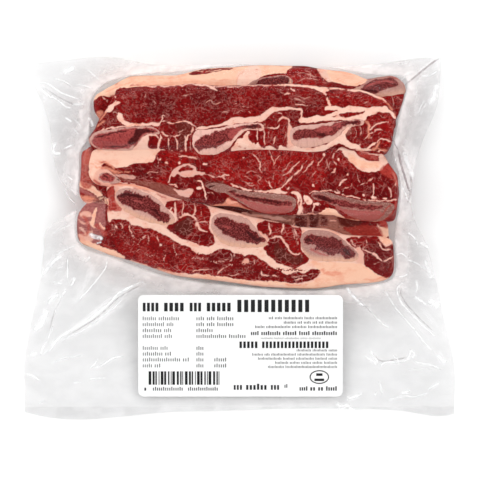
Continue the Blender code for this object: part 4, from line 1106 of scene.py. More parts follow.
UNDER_RIBS = {
    "back": ((-64, 82, 4, 0.7, 0.3), (2, 82, -5, 0.9, 0.2), (66, 82, 6, 0.7, 0.4)),
    "middle": ((-68, 42, -5, 0.9, 0.2), (2, 40, 6, 0.6, 0.4), (68, 40, -4, 0.7, 0.2)),
    "front": ((-66, 12, -12, 0.8, 0.3), (-2, 9, -8, 0.8, 0.2), (62, 5, -6, 0.9, 0.3)),
}
for row, ribs in UNDER_RIBS.items():
    for side, rib in zip(("left", "middle", "right"), ribs):
        BONES[f"bone_under_{row}_{side}"] = rib_end(*rib)


# Beef

MUSCLE_DARK = (0.130, 0.0030, 0.0038)
MUSCLE_BRIGHT = (0.285, 0.0058, 0.0052)
MUSCLE_DEEP = (0.052, 0.0010, 0.0015)
VEIN_COLOUR = (0.50, 0.20, 0.17)
SEAM_COLOUR = (0.66, 0.34, 0.28)
FAT_COLOUR = (0.83, 0.53, 0.425)
CREAM_COLOUR = (0.85, 0.50, 0.355)
SALMON_COLOUR = (0.74, 0.27, 0.175)
SPECK_COLOUR = (0.47, 0.06, 0.05)

# Stains, in the order in which they lie over the muscle: (attribute, share, colour)
STAINS = (
    ("brown", 0.85, (0.085, 0.016, 0.011)), ("beige", 0.9, (0.40, 0.175, 0.13)),
    ("mauve", 0.85, (0.42, 0.15, 0.14)), ("grey", 0.95, (0.235, 0.075, 0.055)),
    ("bloody", 0.85, (0.42, 0.048, 0.035)),
)

# What each kind of mark does: (attribute, value)
KINDS = {
    "fat": (("fat", 1.0), ("cream", 0.0)), "pale": (("fat", 0.8),), "seam": (("fat", 0.62),),
    "vein": (("fat", 0.42),), "lean": (("fat", 0.0), ("salmon", 0.0), ("bloody", 0.0)),
    "cream": (("cream", 1.0), ("fat", 1.0)), "tallow": (("cream", 0.4), ("fat", 1.0)),
    "blush": (("fat", 0.7), ("salmon", 0.3)), "salmon": (("salmon", 1.0),), "bloody": (("bloody", 1.0),),
    "blood": (("bloody", 1.0),), "orange": (("bloody", 1.0), ("beige", 0.0)), "mauve": (("mauve", 1.0),),
    "beige": (("beige", 1.0), ("brown", 0.0)), "brown": (("brown", 1.0), ("beige", 0.0)),
    "grey": (("grey", 1.0),), "dark": (("tone", 0.0),), "bright": (("tone", 1.0),),
}

# How softly the edges of some kinds of mark end, in millimetres
BROAD = {
    "dark": 2.4, "bright": 3.0, "grey": 0.7, "mauve": 0.8, "bloody": 0.7, "salmon": 0.6, "brown": 0.7,
    "beige": 0.6, "blush": 0.8,
}

LAYERS = ("fat", "tone", "cream", "salmon", "bloody", "mauve", "grey", "beige", "brown", "veins", "strokes")


def warped(x, y, seed):
    """Places moved a little at random, so that the marks' edges are ragged."""
    made = []
    for k, place in enumerate((x, y)):
        for size, reach in ((4.0, 0.75), (1.3, 0.34), (0.6, 0.2)):
            place = place + reach * grain(x, y, size, seed + 7 * k + int(size), 1)
        made.append(place)
    return made


def paint(slab, x, y):
    """The attributes of a slice's face: how much fat, gristle and stain lies at each place."""
    layers = {key: np.zeros(len(x)) for key in LAYERS}
    layers["tone"] += slab.tone
    layers["veins"] += slab.veins
    cloud = Cloud(*warped(x, y, 11))
    for item in slab.marks:
        share = cloud.cover(item, BROAD.get(item.kind, MARK_EDGE))
        if 0 < item.width < 2:
            share = share * ease(1.15 + 1.0 * grain(x, y, 3.0, 15))
        for key, value in KINDS[item.kind]:
            part = 0.75 if key == "tone" else 1.0
            layers[key] += (value - layers[key]) * share * part
    for k, kind in enumerate(slab.strewn):
        layers["strokes"] = np.maximum(layers["strokes"], cloud.strew(kind, 100 + k))
    layers["tone"] = np.clip(layers["tone"] + 0.3 * grain(x, y, 9.0, 16), 0, 1)
    return layers


def beef_material(name, cells, turn, stretch):
    """Raw beef: muscle with a net of fine fat, and seams, caps and stains where the attributes say."""
    n = Nodes(name)
    tone = n.attribute("tone")
    fat_share = n.attribute("fat")
    cream_share = n.attribute("cream")
    moved = n.add("TexNoise", None, {
        "Vector": n.scaled((4.0, 4.0, 4.0)), "Scale": 1.0, "Detail": 2.0}, "Color")
    bent = n.add("VectorMath", {"operation": "MULTIPLY_ADD"}, {
        0: moved, 1: (0.9, 0.9, 0.9), 2: n.scaled((cells * stretch, cells, cells), turn)})
    net = n.add("TexVoronoi", {"feature": "DISTANCE_TO_EDGE"}, {"Vector": bent, "Scale": 1.0})
    patches = n.noise(n.scaled((9.0, 7.0, 8.0)), 2)
    fine = n.noise(n.scaled((1.5 * stretch, 0.9, 1.2), turn), 3, 0.6)
    thread = net.eased(0.08, 0.012) * patches.eased(0.40, 0.62) * n.attribute("veins") * 0.7
    strokes = n.attribute("strokes") * patches.eased(0.25, 0.6, 0.55, 1.0)
    marbling = thread.at_least(strokes).at_most(1)
    muscle = n.mix(tone, MUSCLE_DARK, MUSCLE_BRIGHT)
    muscle = n.mix(fine.eased(0.53, 0.34) * 0.85, muscle, MUSCLE_DEEP)
    for key, share, colour in STAINS:
        muscle = n.mix(n.attribute(key) * (fine.eased(0.3, 0.65, 0.5, 1.0) * share), muscle, colour)
    muscle = n.mix(marbling * 0.85, muscle, VEIN_COLOUR)
    ragged = (fat_share + (fine - 0.5) * 0.4 * (1 - fat_share)).eased(0.06, 0.55)
    fat_colour = n.mix(fat_share.eased(0.5, 0.95), SEAM_COLOUR, FAT_COLOUR)
    fat_colour = n.mix(cream_share, fat_colour, CREAM_COLOUR)
    clouds = n.noise(n.scaled((7.0, 5.0, 6.0)), 3, 0.65)
    fat_colour = n.mix(clouds.eased(0.45, 0.72) * 0.5, fat_colour, SALMON_COLOUR)
    specks = fine.eased(0.58, 0.74) * clouds.eased(0.35, 0.6) * (1 - cream_share * 0.8) * 0.55
    fat_colour = n.mix(specks, fat_colour, SPECK_COLOUR)
    colour = n.mix(ragged, muscle, fat_colour)
    colour = n.mix(n.attribute("salmon") * fine.eased(0.3, 0.6, 0.55, 0.9), colour, SALMON_COLOUR)
    over = n.attribute("bloody") * ragged * fine.eased(0.3, 0.6, 0.6, 0.9)
    n.set("Base Color", n.mix(over, colour, STAINS[-1][2]))
    n.set("Roughness", fine.eased(0.3, 0.7, 0.35, 0.5))
    n.set("Specular IOR Level", 0.05)
    fibres = n.noise(n.scaled((1.1 * stretch, 0.55, 0.8), turn), 3, 0.6)
    n.set("Normal", n.bump(fibres * 0.5 + ragged * 0.7 + net.eased(0.0, 0.3) * 0.3, 0.14, 0.8))
    return n.material


# Bone

RING_BROWN = (0.19, 0.062, 0.048)
RING_PALE = (0.76, 0.44, 0.37)
RING_CREAM = (0.68, 0.36, 0.245)
RING_RAY = (0.26, 0.085, 0.07)
RING_SPECK = (0.68, 0.42, 0.36)
RING_RIM = (0.30, 0.09, 0.075)
RING_SPONGE = (0.43, 0.115, 0.10)
MARROW_DARK = (0.085, 0.003, 0.0035)
MARROW_LIGHT = (0.40, 0.060, 0.055)
MARROW_WALL = (0.42, 0.085, 0.078)
MARROW_HOLE = (0.035, 0.001, 0.002)
BONE_PINK = (0.40, 0.072, 0.066)
BONE_GREY = (0.30, 0.13, 0.10)
BONE_BLOODY = (0.36, 0.042, 0.034)
BONE_DARK = (0.045, 0.0015, 0.002)

# Which stain each kind of mark leaves on a rib end
BONE_KINDS = {
    "dark": "dark", "mauve": "pink", "pink": "pink", "blush": "pink", "cream": "cream",
    "pale": "cream", "grey": "grey", "bloody": "bloody",
}


def bone_material():
    """A rib bone's cut end: a greyish ring with cream at its lower side, round dark spongy marrow."""
    n = Nodes("rib_bone")
    core = n.attribute("core")
    fine = n.noise(n.scaled((0.9, 0.9, 0.9)), 3, 0.65)
    sponge = n.add("TexVoronoi", {"feature": "F1"}, {"Vector": n.scaled((0.9, 0.9, 0.9)), "Scale": 1.0})
    cells = n.noise(n.scaled((0.8, 0.8, 0.8), 20), 2, 0.7)
    ring = n.mix(n.attribute("ring"), RING_BROWN, RING_PALE)
    ring = n.mix(n.attribute("cream"), ring, RING_CREAM)
    ring = n.mix(n.attribute("ray").eased(0.0, 1.0) * 0.22, ring, RING_RAY)
    ring = n.mix(fine.eased(0.45, 0.68) * 0.45, ring, RING_SPECK)
    ring = n.mix(n.attribute("rim").eased(0.4, 1.0) * 0.3, ring, RING_RIM)
    marrow = n.mix(n.attribute("light"), MARROW_DARK, MARROW_LIGHT)
    marrow = n.mix(cells.eased(0.51, 0.62) * 0.6, marrow, MARROW_WALL)
    marrow = n.mix(cells.eased(0.50, 0.40) * 0.8, marrow, MARROW_HOLE)
    ring = n.mix(core.eased(0.03, 0.4) * cells.eased(0.45, 0.56) * 0.8, ring, RING_SPONGE)
    edge = (core + (fine - 0.5) * 0.9).eased(0.38, 0.66)
    colour = n.mix(edge, ring, marrow)
    colour = n.mix(n.attribute("pink") * cells.eased(0.35, 0.6, 0.45, 0.9), colour, BONE_PINK)
    colour = n.mix(n.attribute("grey") * 0.8, colour, BONE_GREY)
    colour = n.mix(n.attribute("bloody") * 0.8, colour, BONE_BLOODY)
    colour = n.mix(n.attribute("dark") * fine.eased(0.25, 0.55, 0.5, 1.0), colour, BONE_DARK)
    n.set("Base Color", colour)
    n.set("Roughness", fine.eased(0.3, 0.7, 0.32, 0.48))
    n.set("Specular IOR Level", 0.15)
    n.set("Normal", n.bump(fine * 0.4 - edge * 0.5 + sponge * 0.25 * edge, 0.2, 0.8))
    return n.material


def on_pile(places):
    """Where places read off at the floor's level lie at the pile's top, which is nearer the camera."""
    return FRAME_MIDDLE + (places - FRAME_MIDDLE) * PILE_SCALE


def off_pile(x, y):
    """The same the other way."""
    return [m + (place - m) / PILE_SCALE for place, m in zip((x, y), FRAME_MIDDLE)]


def slab_heights(slab, x, y, away, under_side):
    """Heights of a slice's face: it lies on the film, or keeps its own level where another covers it."""
    relief = 0.14 * grain(x, y, 7.0, 21) + 0.08 * grain(x, y, 2.2, 22)
    drop = 0.4 * EDGE_ROUND * (1 - ease(away / EDGE_ROUND)) ** 2
    if under_side:
        return SKINS.under_at(x, y) + FILM_GAP + 0.5 * drop - relief * 0.3
    level = slab.level + slab.slope * (y - slab.centre[1])
    return np.minimum(SKINS.top_at(x, y) - FILM_GAP - SPARE_GAP, level) + relief - drop


def slab_mesh(name, ring, step, swell):
    """A flat slab within a closed curve, as mesh data, and its places and depths as shares."""
    mesh = bmesh.new()
    grid_mesh(mesh, ring.min(0) - 1, ring.max(0) + 1, step)
    trim_to(mesh, ring, step)
    wall_down(mesh, ring, swell)
    data = close_bmesh(mesh, name)
    places = read_places(data)
    return data, places, -places[:, 2]


def make_slice(name, slab, material, under_side):
    """A slice of meat as a closed slab with a painted face."""
    ring = on_pile(curve(slab.outline, closed=True))
    data, places, share = slab_mesh(name, ring, slab.step, 0.5)
    x, y = places[:, 0], places[:, 1]
    away = np.where(share > 0, 0, Cloud(x, y).away_from(ring, EDGE_ROUND + 1, closed=True)[0])
    face = slab_heights(slab, x, y, away, under_side)
    if under_side:
        places[:, 2] = face + share * slab.thickness
        data.flip_normals()
    else:
        floor = SKINS.under_at(x, y) + FILM_GAP + SPARE_GAP
        places[:, 2] = np.maximum(face - share * slab.thickness, floor)
    write_places(data, places)
    return finish_piece(name, data, material, paint(slab, *off_pile(x, y)).items())


def local_floor(x, ring):
    """The lowest y of a closed curve near each x."""
    floor = np.full(len(x), np.inf)
    for px, py in ring:
        floor = np.where(np.abs(x - px) < 1.2, np.minimum(floor, py), floor)
    return np.where(np.isinf(floor), ring[:, 1].min(), floor)


def bone_layers(bone, x, y, ring, away, along):
    """The attributes of a rib's cut end."""
    marrow = curve(bone.marrow, closed=True, step=0.8)
    cloud = Cloud(*warped(*off_pile(x, y), 31))
    round_marrow = cloud.away_from(marrow, 6, closed=True)[1] * length_of(marrow)
    spikes = 0.6 * bone.spikes * grain(round_marrow, 0 * x, 1.3, 34, 2)
    low = ease(1.25 - (y - local_floor(x, ring)) / 4.5)
    layers = {
        "core": ease((cloud.reach(marrow, 4) + 0.4 + spikes) / 3.0 + 0.5), "rim": 1 - ease(away / 1.0),
        "ring": np.full(len(x), bone.ring**2), "light": np.full(len(x), bone.light),
        "cream": bone.cream * low, "ray": grain(along * length_of(ring), 0 * x, 0.9, 35, 2),
        "pink": 0 * x, "grey": 0 * x, "bloody": 0 * x, "dark": 0 * x,
    }
    for item in bone.marks:
        key = BONE_KINDS[item.kind]
        layers[key] = np.maximum(layers[key], cloud.cover(item, 0.45))
    return layers


def make_bone(name, bone, material, slab, under_side):
    """A rib's cut end as a low dome set in its slice's face."""
    ring = on_pile(curve(bone.outline, closed=True, step=0.8))
    data, places, share = slab_mesh(name, ring, BONE_STEP, 0.3)
    x, y = places[:, 0], places[:, 1]
    away, along = Cloud(x, y).away_from(ring, 12, closed=True)
    away = np.where(share > 0, 0, away)
    meat = slab_heights(slab, x, y, np.full(len(x), 9.0), under_side)
    dome = BONE_LIFT * ease(away / 1.4) + 0.06 * grain(x, y, 2.5, 31) - 0.05
    if under_side:
        places[:, 2] = meat - dome + share * BONE_DEPTH
        data.flip_normals()
    else:
        places[:, 2] = meat + dome - share * BONE_DEPTH
    write_places(data, places)
    return finish_piece(name, data, material, bone_layers(bone, x, y, ring, away, along).items())


def make_meat():
    """Every slice and rib end in the pouch."""
    looks = {
        "slice_top_back": beef_material("beef_top_back", 3.2, 10, 1.3),
        "slice_top_middle": beef_material("beef_top_middle", 4.2, 40, 1.5),
        "slice_top_front": beef_material("beef_top_front", 3.6, -8, 1.35),
    }
    plain = beef_material("beef", 3.6, 0, 1.3)
    for name, slab in SLICES.items():
        make_slice(name, slab, looks.get(name, plain), "under" in name)
    bone = bone_material()
    for name, shape in BONES.items():
        row = name.rsplit("_", 1)[0].replace("bone", "slice")
        make_bone(name, shape, bone, SLICES[row], "under" in name)


# Film

# Folds drawn with a painted highlight: width, brightness and places along each
FOLDS = (
    fold(1.4, 1, -66, -31, -78, -36, -81, -38, -85, -40, -90, -46, -96, -51, -102, -56, -108, -60, -115,
        -64, -122, -68, -128, -73, -131, -78, -136, -82), fold(1.8, 1, -76, -35, -81, -38, -84, -40),
    fold(0.8, 0.7, -78, -40, -84, -46, -89, -51, -96, -56, -102, -61, -111, -67, -119, -70, -124, -74),
    fold(4, 0.25, -74, -36, -86, -44, -96, -54, -110, -64, -124, -72),
    fold(1, 0.8, -92, -14, -93, -21, -96, -26, -100, -31, -105, -37, -110, -42, -113, -46),
    fold(0.9, 0.8, -120, -14, -120, -23, -120, -33),
    fold(1.2, 0.9, -121, -37, -124, -42, -128, -49, -129, -55),
    fold(1, 0.5, -130, -62, -133, -69, -135, -75), fold(2.4, 0.5, -126, -40, -130, -43, -134, -47),
    fold(1.4, 0.9, -115, -28, -116, -32, -118, -35),
    fold(2.6, 0.6, -124, -14, -128, -16, -132, -20, -136, -25, -137, -28),
    fold(1, 0.7, -130, -32, -124, -33), fold(2, 0.6, -104, -14, -106, -16, -108, -18),
    fold(3.6, 0.7, -134, -51, -137, -58, -139, -62, -144, -66),
    fold(1.2, 0.9, -136, -76, -138, -79, -139, -83), fold(3, 0.7, -142, -81, -145, -84),
    fold(0.8, 0.4, -109, -83, -116, -84, -122, -85, -130, -88),
    fold(1.2, 0.8, -99, -86, -102, -90, -105, -92),
    fold(1.2, 0.8, -81, -84, -88, -85, -96, -90, -101, -92), fold(1, 0.7, -105, -100, -95, -99),
    fold(1, 0.7, -116, -102, -111, -102), fold(1.4, 0.7, -149, -96, -144, -98, -140, -101),
    fold(1, 0.6, -141, -117, -136, -115), fold(2.4, 1, 75, -35, 77, -39, 81, -43, 85, -47, 89, -49),
    fold(1.6, 0.6, 89, -49, 94, -55, 100, -61, 105, -64),
    fold(0.8, 0.8, 99, -34, 104, -42, 109, -50, 116, -58, 123, -66, 128, -73, 134, -79, 136, -82),
    fold(1, 0.8, 116, -31, 112, -34, 110, -37, 111, -42, 114, -48, 120, -54, 124, -58, 130, -64, 137, -70),
    fold(1.4, 0.9, 122, -42, 125, -44, 128, -46, 131, -48), fold(3.8, 0.9, 132, -45, 136, -47, 139, -50),
    fold(3, 0.5, 129, -16, 132, -23, 135, -30), fold(1, 0.7, 118, -26, 114, -28, 108, -28),
    fold(1, 0.7, 123, -30, 124, -35, 123, -39), fold(1.6, 0.9, 91, -80, 94, -84, 97, -89),
    fold(1.4, 0.8, 88, -84, 93, -87, 96, -90), fold(1.4, 0.9, 98, -91, 102, -88, 108, -88, 111, -89),
    fold(1.2, 0.8, 107, -84, 109, -84, 111, -87, 114, -88),
    fold(1.4, 0.9, 114, -88, 118, -85, 120, -80, 122, -83, 119, -86),
    fold(1.2, 0.7, 121, -87, 127, -89, 134, -90, 141, -93), fold(2.5, 0.9, 138, -83, 142, -87, 145, -87),
    fold(0.8, 0.4, 117, -93, 135, -93), fold(0.8, 0.4, 97, -101, 99, -106, 100, -111),
    fold(0.8, 0.4, 94, -112, 96, -108), fold(1.8, 0.8, 113, -110, 119, -108),
    fold(1, 0.6, 103, -115, 113, -112, 123, -112, 131, -110), fold(1.2, 0.6, 132, -107, 140, -102),
    fold(1.8, 0.8, 75, -114, 86, -110), fold(1.6, 0.8, 67, -116, 71, -119, 75, -118, 80, -122),
    fold(1, 0.7, 69, -121, 73, -120, 77, -117),
    fold(1, 0.9, -142, 107, -135, 107, -130, 104, -124, 100, -116, 97, -110, 95),
    fold(1.2, 0.8, -139, 104, -133, 98, -128, 96, -122, 91, -116, 89), fold(2.4, 0.8, -132, 98, -130, 97),
    fold(3, 0.7, -123, 114, -119, 116, -115, 118), fold(0.8, 0.6, -130, 110, -124, 109, -117, 105),
    fold(0.8, 0.6, -114, 106, -108, 105, -102, 103), fold(2, 0.6, -117, 92, -108, 92),
    fold(1.6, 0.8, -122, 83, -117, 80), fold(0.8, 0.6, -116, 83, -110, 76),
    fold(0.8, 0.6, -116, 75, -111, 70), fold(2.6, 0.8, -128, 66, -130, 62, -129, 58, -124, 58),
    fold(1.5, 0.8, -123, 61, -116, 64), fold(2.4, 0.6, -106, 83, -103, 80, -102, 76),
    fold(1.2, 0.7, -120, 42, -116, 39), fold(1.6, 0.5, 139, 116, 132, 112, 126, 112),
    fold(3.4, 0.7, 138, 107, 136, 98, 132, 92), fold(0.9, 0.7, 129, 95, 126, 89, 124, 85),
    fold(0.8, 0.6, 131, 94, 128, 88, 126, 84), fold(3.4, 0.6, 114, 60, 116, 54, 119, 46, 121, 40),
    fold(1, 0.8, 109, 55, 108, 51), fold(1.4, 0.6, 112, 37, 116, 29, 118, 24),
    fold(1.2, 0.8, 117, 3, 122, -1, 125, -7), fold(2.6, 0.7, 126, -4, 132, -8),
    fold(1.2, 0.8, 109, -13, 113, -12, 117, -15), fold(1, 0.6, 116, -16, 124, -19, 131, -24),
    fold(1, 0.5, -113, -6, -121, -9, -129, -14), fold(1, 0.5, -116, 8, -123, 6, -131, 1),
    fold(1, 0.6, -114, 22, -119, 27, -122, 33), fold(3.4, 0.85, -105, 2, -102, 0, -98, -1, -95, -2),
    fold(1.4, 0.7, -100, -5, -96, -4), fold(1, 0.5, 112, 108, 116, 112, 121, 114),
    fold(1, 0.5, -97, 108, -101, 112, -107, 117),
)

# Folds drawn with painted shade, darker than the film round them
SHADES = (
    fold(1.4, 0.7, 139.7, 124.2, 134.7, 121.2, 129.7, 117.2, 124.7, 113.2, 118.7, 108.2, 115.2, 105.2),
    fold(1.6, 1, 110.7, 60.2, 112.7, 49.2, 115.7, 40.2, 118.7, 30.7),
    fold(1.2, 0.6, 105, 70, 108, 64, 110.7, 60.2),
    fold(1, 0.4, -67, -33, -84, -42.6, -100, -57, -122, -70.6),
    fold(1, 0.4, 113.4, -36, 112.6, -40, 118, -49, 128, -59.6, 136, -67),
    fold(1, 0.4, 76, -37, 84, -45, 96, -57), fold(1.2, 0.4, 92, -81, 99, -87, 110, -86, 119, -84),
    fold(1.2, 0.3, -138, 104.6, -126, 97, -114, 91), fold(1, 0.3, -123, -40, -129, -52, -133, -66),
    fold(1.6, 0.35, 117, 22, 120, 34, 119, 44),
)

PILE = (-113, 17, -111, 40, -110, 58, -104, 70, -101, 98, -82, 110, -40, 114, 0, 118.5, 50, 119,
        90, 112, 112, 111, 116, 104, 110, 84, 106, 60, 111, 36, 109, 12, 107, -4, 108, -24,
        98, -32, 50, -37, 0, -34, -50, -27, -88, -14, -111, -5)


def film_places(step):
    """A sheet fitted to the pouch's drawn-in outline, as mesh data, and its x and y."""
    mesh = bmesh.new()
    grid_mesh(mesh, (-1, -1), (1, 1), 2 * step / POUCH_WIDTH)
    data = close_bmesh(mesh, "film")
    shares = read_places(data)
    plain_x = shares[:, 0] * POUCH_WIDTH / 2
    front = -POUCH_DEPTH / 2 + smooth_line(FRONT_INSET, plain_x)
    back = POUCH_DEPTH / 2 - smooth_line(BACK_INSET, plain_x)
    y = front + (back - front) * (shares[:, 1] + 1) / 2
    left = -POUCH_WIDTH / 2 + smooth_line(LEFT_INSET, y)
    right = POUCH_WIDTH / 2 - smooth_line(RIGHT_INSET, y)
    return data, left + (right - left) * (shares[:, 0] + 1) / 2, y


def outside_label(x, y):
    """How far each place lies outside the label's rectangle."""
    dx = np.abs(x - LABEL_CENTRE[0]) - LABEL_SIZE[0] / 2
    dy = np.abs(y - LABEL_CENTRE[1]) - LABEL_SIZE[1] / 2
    return np.hypot(np.maximum(dx, 0), np.maximum(dy, 0))


def film_top_heights(cloud):
    """Heights of the top film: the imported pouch's skin with folds outside the meat and the label."""
    x, y = cloud.x, cloud.y
    rise = 0 * x
    for item in (*FOLDS, *SHADES):
        away = cloud.away_from(curve(item.points), 2.5 * item.width)[0]
        rise = np.maximum(rise, 0.5 * item.shine * item.width * np.exp(-((away / item.width) ** 2)))
    free = ease(outside_label(x, y) / 6) * ease((y + POUCH_DEPTH / 2 - 2.5) / 6)
    rise = rise * free + 0.3 * free * np.maximum(grain(x * 0.6 + y * 0.5, y - 0.6 * x, 6.0, 44), -0.4)
    inner = cloud.reach(curve(PILE, closed=True, step=3), 8)
    skin = SKINS.top_at(x * FILM_INSET, y * FILM_INSET)
    return skin + np.minimum(rise, FOLD_HEIGHT_LIMIT) * ease(0.4 - inner / 8)


HAZE_GREY = (0.42, 0.42, 0.43)
# Pale haze by the meat: painted fill light that lifts the pile's shadow on the film, with a pinkish cast
# that is partly meat juice and partly painted red bounce light
PAINTED_FILL_BY_MEAT = (0.98, 0.92, 0.91)
FILM_SHEEN = (0.9, 0.9, 0.92)
# Fold ribbon colours: white painted highlight and greyish painted shade
FOLD_PAINTED_HIGHLIGHT = (0.97, 0.97, 0.98)
FOLD_PAINTED_SHADE = (0.30, 0.24, 0.25)


def film_material(name, haze):
    """Clear thin film: a faint grey veil, turned into a pale pinkish painted fill by the meat, and a gloss
    that grows at a slant.
    """
    n = Nodes(name)
    veil = n.attribute("veil")
    cloud = n.noise(n.scaled((14.0, 10.0, 12.0)), 3, 0.55)
    crumple = n.noise(n.scaled((5.0, 5.0, 5.0), 30), 4, 0.6, 0.6)
    slant = n.add("LayerWeight", None, {"Blend": 0.5}, "Facing")
    gloss = (slant.maths("POWER", slant, 5.0) * 0.8 + 0.03) * (n.attribute("free") * 0.86 + 0.14)
    share = (gloss + veil * cloud.eased(0.3, 0.7, 0.7, 1.3) * haze).at_most(0.95)
    # The "blood" attribute turns the grey veil into the pale painted fill by the meat
    haze_and_fill_colour = n.mix(n.attribute("blood"), HAZE_GREY, PAINTED_FILL_BY_MEAT)
    n.set("Base Color", n.mix(gloss / share, haze_and_fill_colour, FILM_SHEEN))
    n.set("Metallic", gloss / share)
    n.set("Roughness", 0.12)
    n.set("Specular IOR Level", 0.0)
    n.set("Normal", n.bump(crumple, 0.4, n.attribute("free") * 0.22))
    n.see_through(share)
    return n.material


def fold_painted_light_material():
    """The film's folds: painted white as highlights, and painted greyish as shade where the shade attribute
    is set.
    """
    n = Nodes("film_folds_painted_light")
    shine = n.attribute("shine")
    broken = n.noise(n.scaled((3.5, 3.5, 3.5)), 3, 0.6)
    n.set("Base Color", n.mix(n.attribute("shade"), FOLD_PAINTED_HIGHLIGHT, FOLD_PAINTED_SHADE))
    n.set("Roughness", 0.4)
    n.set("Specular IOR Level", 0.2)
    # Shine sets how strongly the ribbon's painted highlight, and on shade ribbons its painted shade, covers
    # the film
    n.see_through(shine * broken.eased(0.3, 0.55, 0.35, 1.0))
    return n.material


def film_layers(cloud):
    """The film's veil, with a painted fill by the meat, the pinkish cast of that fill, and looseness at each
    place.
    """
    x, y = cloud.x, cloud.y
    reach = cloud.reach(curve(PILE, closed=True, step=3), 45)
    free = ease(-reach / 4)
    seal = ease((y - SEAL_FRONT[0]) / 1.0) * ease((SEAL_FRONT[1] - y) / 1.5)
    front = ease((SEAL_FRONT[0] - y) / 0.8)
    # near, and the strong veil it gives by the meat, are a painted fill light on the film over the pile's
    # shadow
    near = ease(-reach / 2) * np.exp(-np.maximum(-reach, 0) / 13.0)
    veil = 1.1 * free + 13.0 * near + 0.25 * seal + 2.0 * front
    veil = veil - 0.5 * ease((y - 96) / 8) * ease((-100 - x) / 8)
    smear = ease(0.2 + 0.9 * grain(x, y, 9.0, 43))
    # blood is the painted fill's pinkish cast, partly meat juice and partly painted red bounce light
    return {"veil": np.clip(veil, 0, 14), "free": free, "blood": np.clip(near * (1.3 + 0.5 * smear), 0, 1)}


def make_fold_ribbons(rows):
    """The folds as narrow ribbons just above the film, carrying painted highlights and painted shade."""
    mesh = bmesh.new()
    shine, shade = [], []
    for item, shaded in rows:
        line = curve(item.points, step=0.8)
        made = bmesh.ops.create_grid(mesh, x_segments=len(line) - 1, y_segments=4, size=1)["verts"]
        run = np.gradient(line, axis=0)
        run /= np.maximum(np.hypot(*run.T), 1e-6)[:, None]
        for vertex in made:
            k = int(round((vertex.co.x + 1) / 2 * (len(line) - 1)))
            side, share = vertex.co.y, k / (len(line) - 1)
            taper = min(1.0, 0.35 + 5 * min(share, 1 - share))
            x, y = line[k] + side * item.width * 0.6 * taper * np.array((-run[k][1], run[k][0]))
            vertex.co = (x, y, 0)
            # shine is the strength of the ribbon's painted highlight, and on shade ribbons of its painted
            # shade
            shine.append(item.shine * (1 - side**2) * min(1.0, 8 * min(share, 1 - share) + 0.15))
            shade.append(float(shaded))
    data = close_bmesh(mesh, "film_folds_painted_light")
    places = read_places(data)
    places[:, 2] = film_top_heights(Cloud(places[:, 0], places[:, 1])) + FOLD_LIFT
    write_places(data, places)
    return finish_piece("film_folds_painted_light", data, fold_painted_light_material(), (("shine", shine), ("shade", shade)))


def make_film():
    """The pouch's top and under webs of clear film, and the folds in the top one, with their painted
    highlights and shade.
    """
    data, x, y = film_places(FILM_STEP)
    cloud = Cloud(x, y)
    write_places(data, np.stack((x, y, film_top_heights(cloud)), 1))
    top = finish_piece("film_top", data, film_material("film_top", TOP_HAZE), film_layers(cloud).items())
    data, x, y = film_places(UNDER_STEP)
    cloud = Cloud(x, y)
    skin = np.maximum(SKINS.under_at(x * FILM_INSET, y * FILM_INSET), FILM_LOWEST)
    write_places(data, np.stack((x, y, skin), 1))
    data.flip_normals()
    look = film_material("film_under", UNDER_HAZE)
    bottom = finish_piece("film_under", data, look, film_layers(cloud).items())
    folds = make_fold_ribbons([(f, False) for f in FOLDS] + [(f, True) for f in SHADES])
    for piece in (top, bottom, folds):
        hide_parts("pouch")


# Label

PAPER_COLOURS = (0.88, 0.88, 0.88), (0.92, 0.92, 0.92)
INK_COLOURS = (0.008, 0.008, 0.009), (0.02, 0.02, 0.022)
STRIPES_BOX = (-63.5, -12.0, -103.8, -94.4)
STRIPE_UNITS = 95
STAMP_MIDDLE = (55.8, -98.4)
STAMP_RADII = (6.8, 4.8)
STAMP_WALL = 0.7


def paper_material():
    """Smooth white label paper."""
    n = Nodes("label_paper")
    fibre = n.noise(n.scaled((0.6, 0.4, 0.5)), 3, 0.6)
    n.set("Base Color", n.mix(fibre, *PAPER_COLOURS))
    n.set("Roughness", 0.6)
    n.set("Specular IOR Level", 0.3)
    n.set("Normal", n.bump(fibre, 0.02, 0.3))
    return n.material


def ink_material():
    """Black print, a little uneven."""
    n = Nodes("ink")
    wear = n.noise(n.scaled((1.2, 1.2, 1.2)), 2)
    n.set("Base Color", n.mix(wear, *INK_COLOURS))
    n.set("Roughness", 0.55)
    n.set("Specular IOR Level", 0.2)
    return n.material


def label_height(y):
    """Height of the label's face."""
    low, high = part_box("label")
    middle = (low.z + high.z) / 2 / MM
    return middle + LABEL_THICKNESS / 2 + LABEL_SLOPE * (y - LABEL_CENTRE[1])


def ink_plate(mesh, x0, x1, y0, y1):
    """One flat mark of print."""
    made = bmesh.ops.create_cube(mesh, size=1)["verts"]
    middle = label_height((y0 + y1) / 2) + PRINT_LIFT
    bmesh.ops.scale(mesh, vec=(x1 - x0, y1 - y0, PRINT_THICKNESS), verts=made)
    for vertex in made:
        vertex.co.z += LABEL_SLOPE * vertex.co.y + middle
        vertex.co.x += (x0 + x1) / 2
        vertex.co.y += (y0 + y1) / 2


def word_row(mesh, x0, x1, y, height, weight, words):
    """A row of plain blocks in groups, filling x0 to x1. weight is the inked share of each block's pitch."""
    gap = 0.5 * height
    total = sum(words)
    room = x1 - x0 - gap * (len(words) - 1)
    x = x0
    for share in words:
        wide = room * share / total
        count = max(1, round(wide / (0.56 * height)))
        pitch = wide / count
        for k in range(count):
            tall = height * (1.0 if (3 * k + share) % 4 == 0 or height > 4.5 else 0.78)
            start = x + k * pitch
            ink_plate(mesh, start, start + weight * pitch, y - height / 2, y - height / 2 + tall)
        x += wide + gap


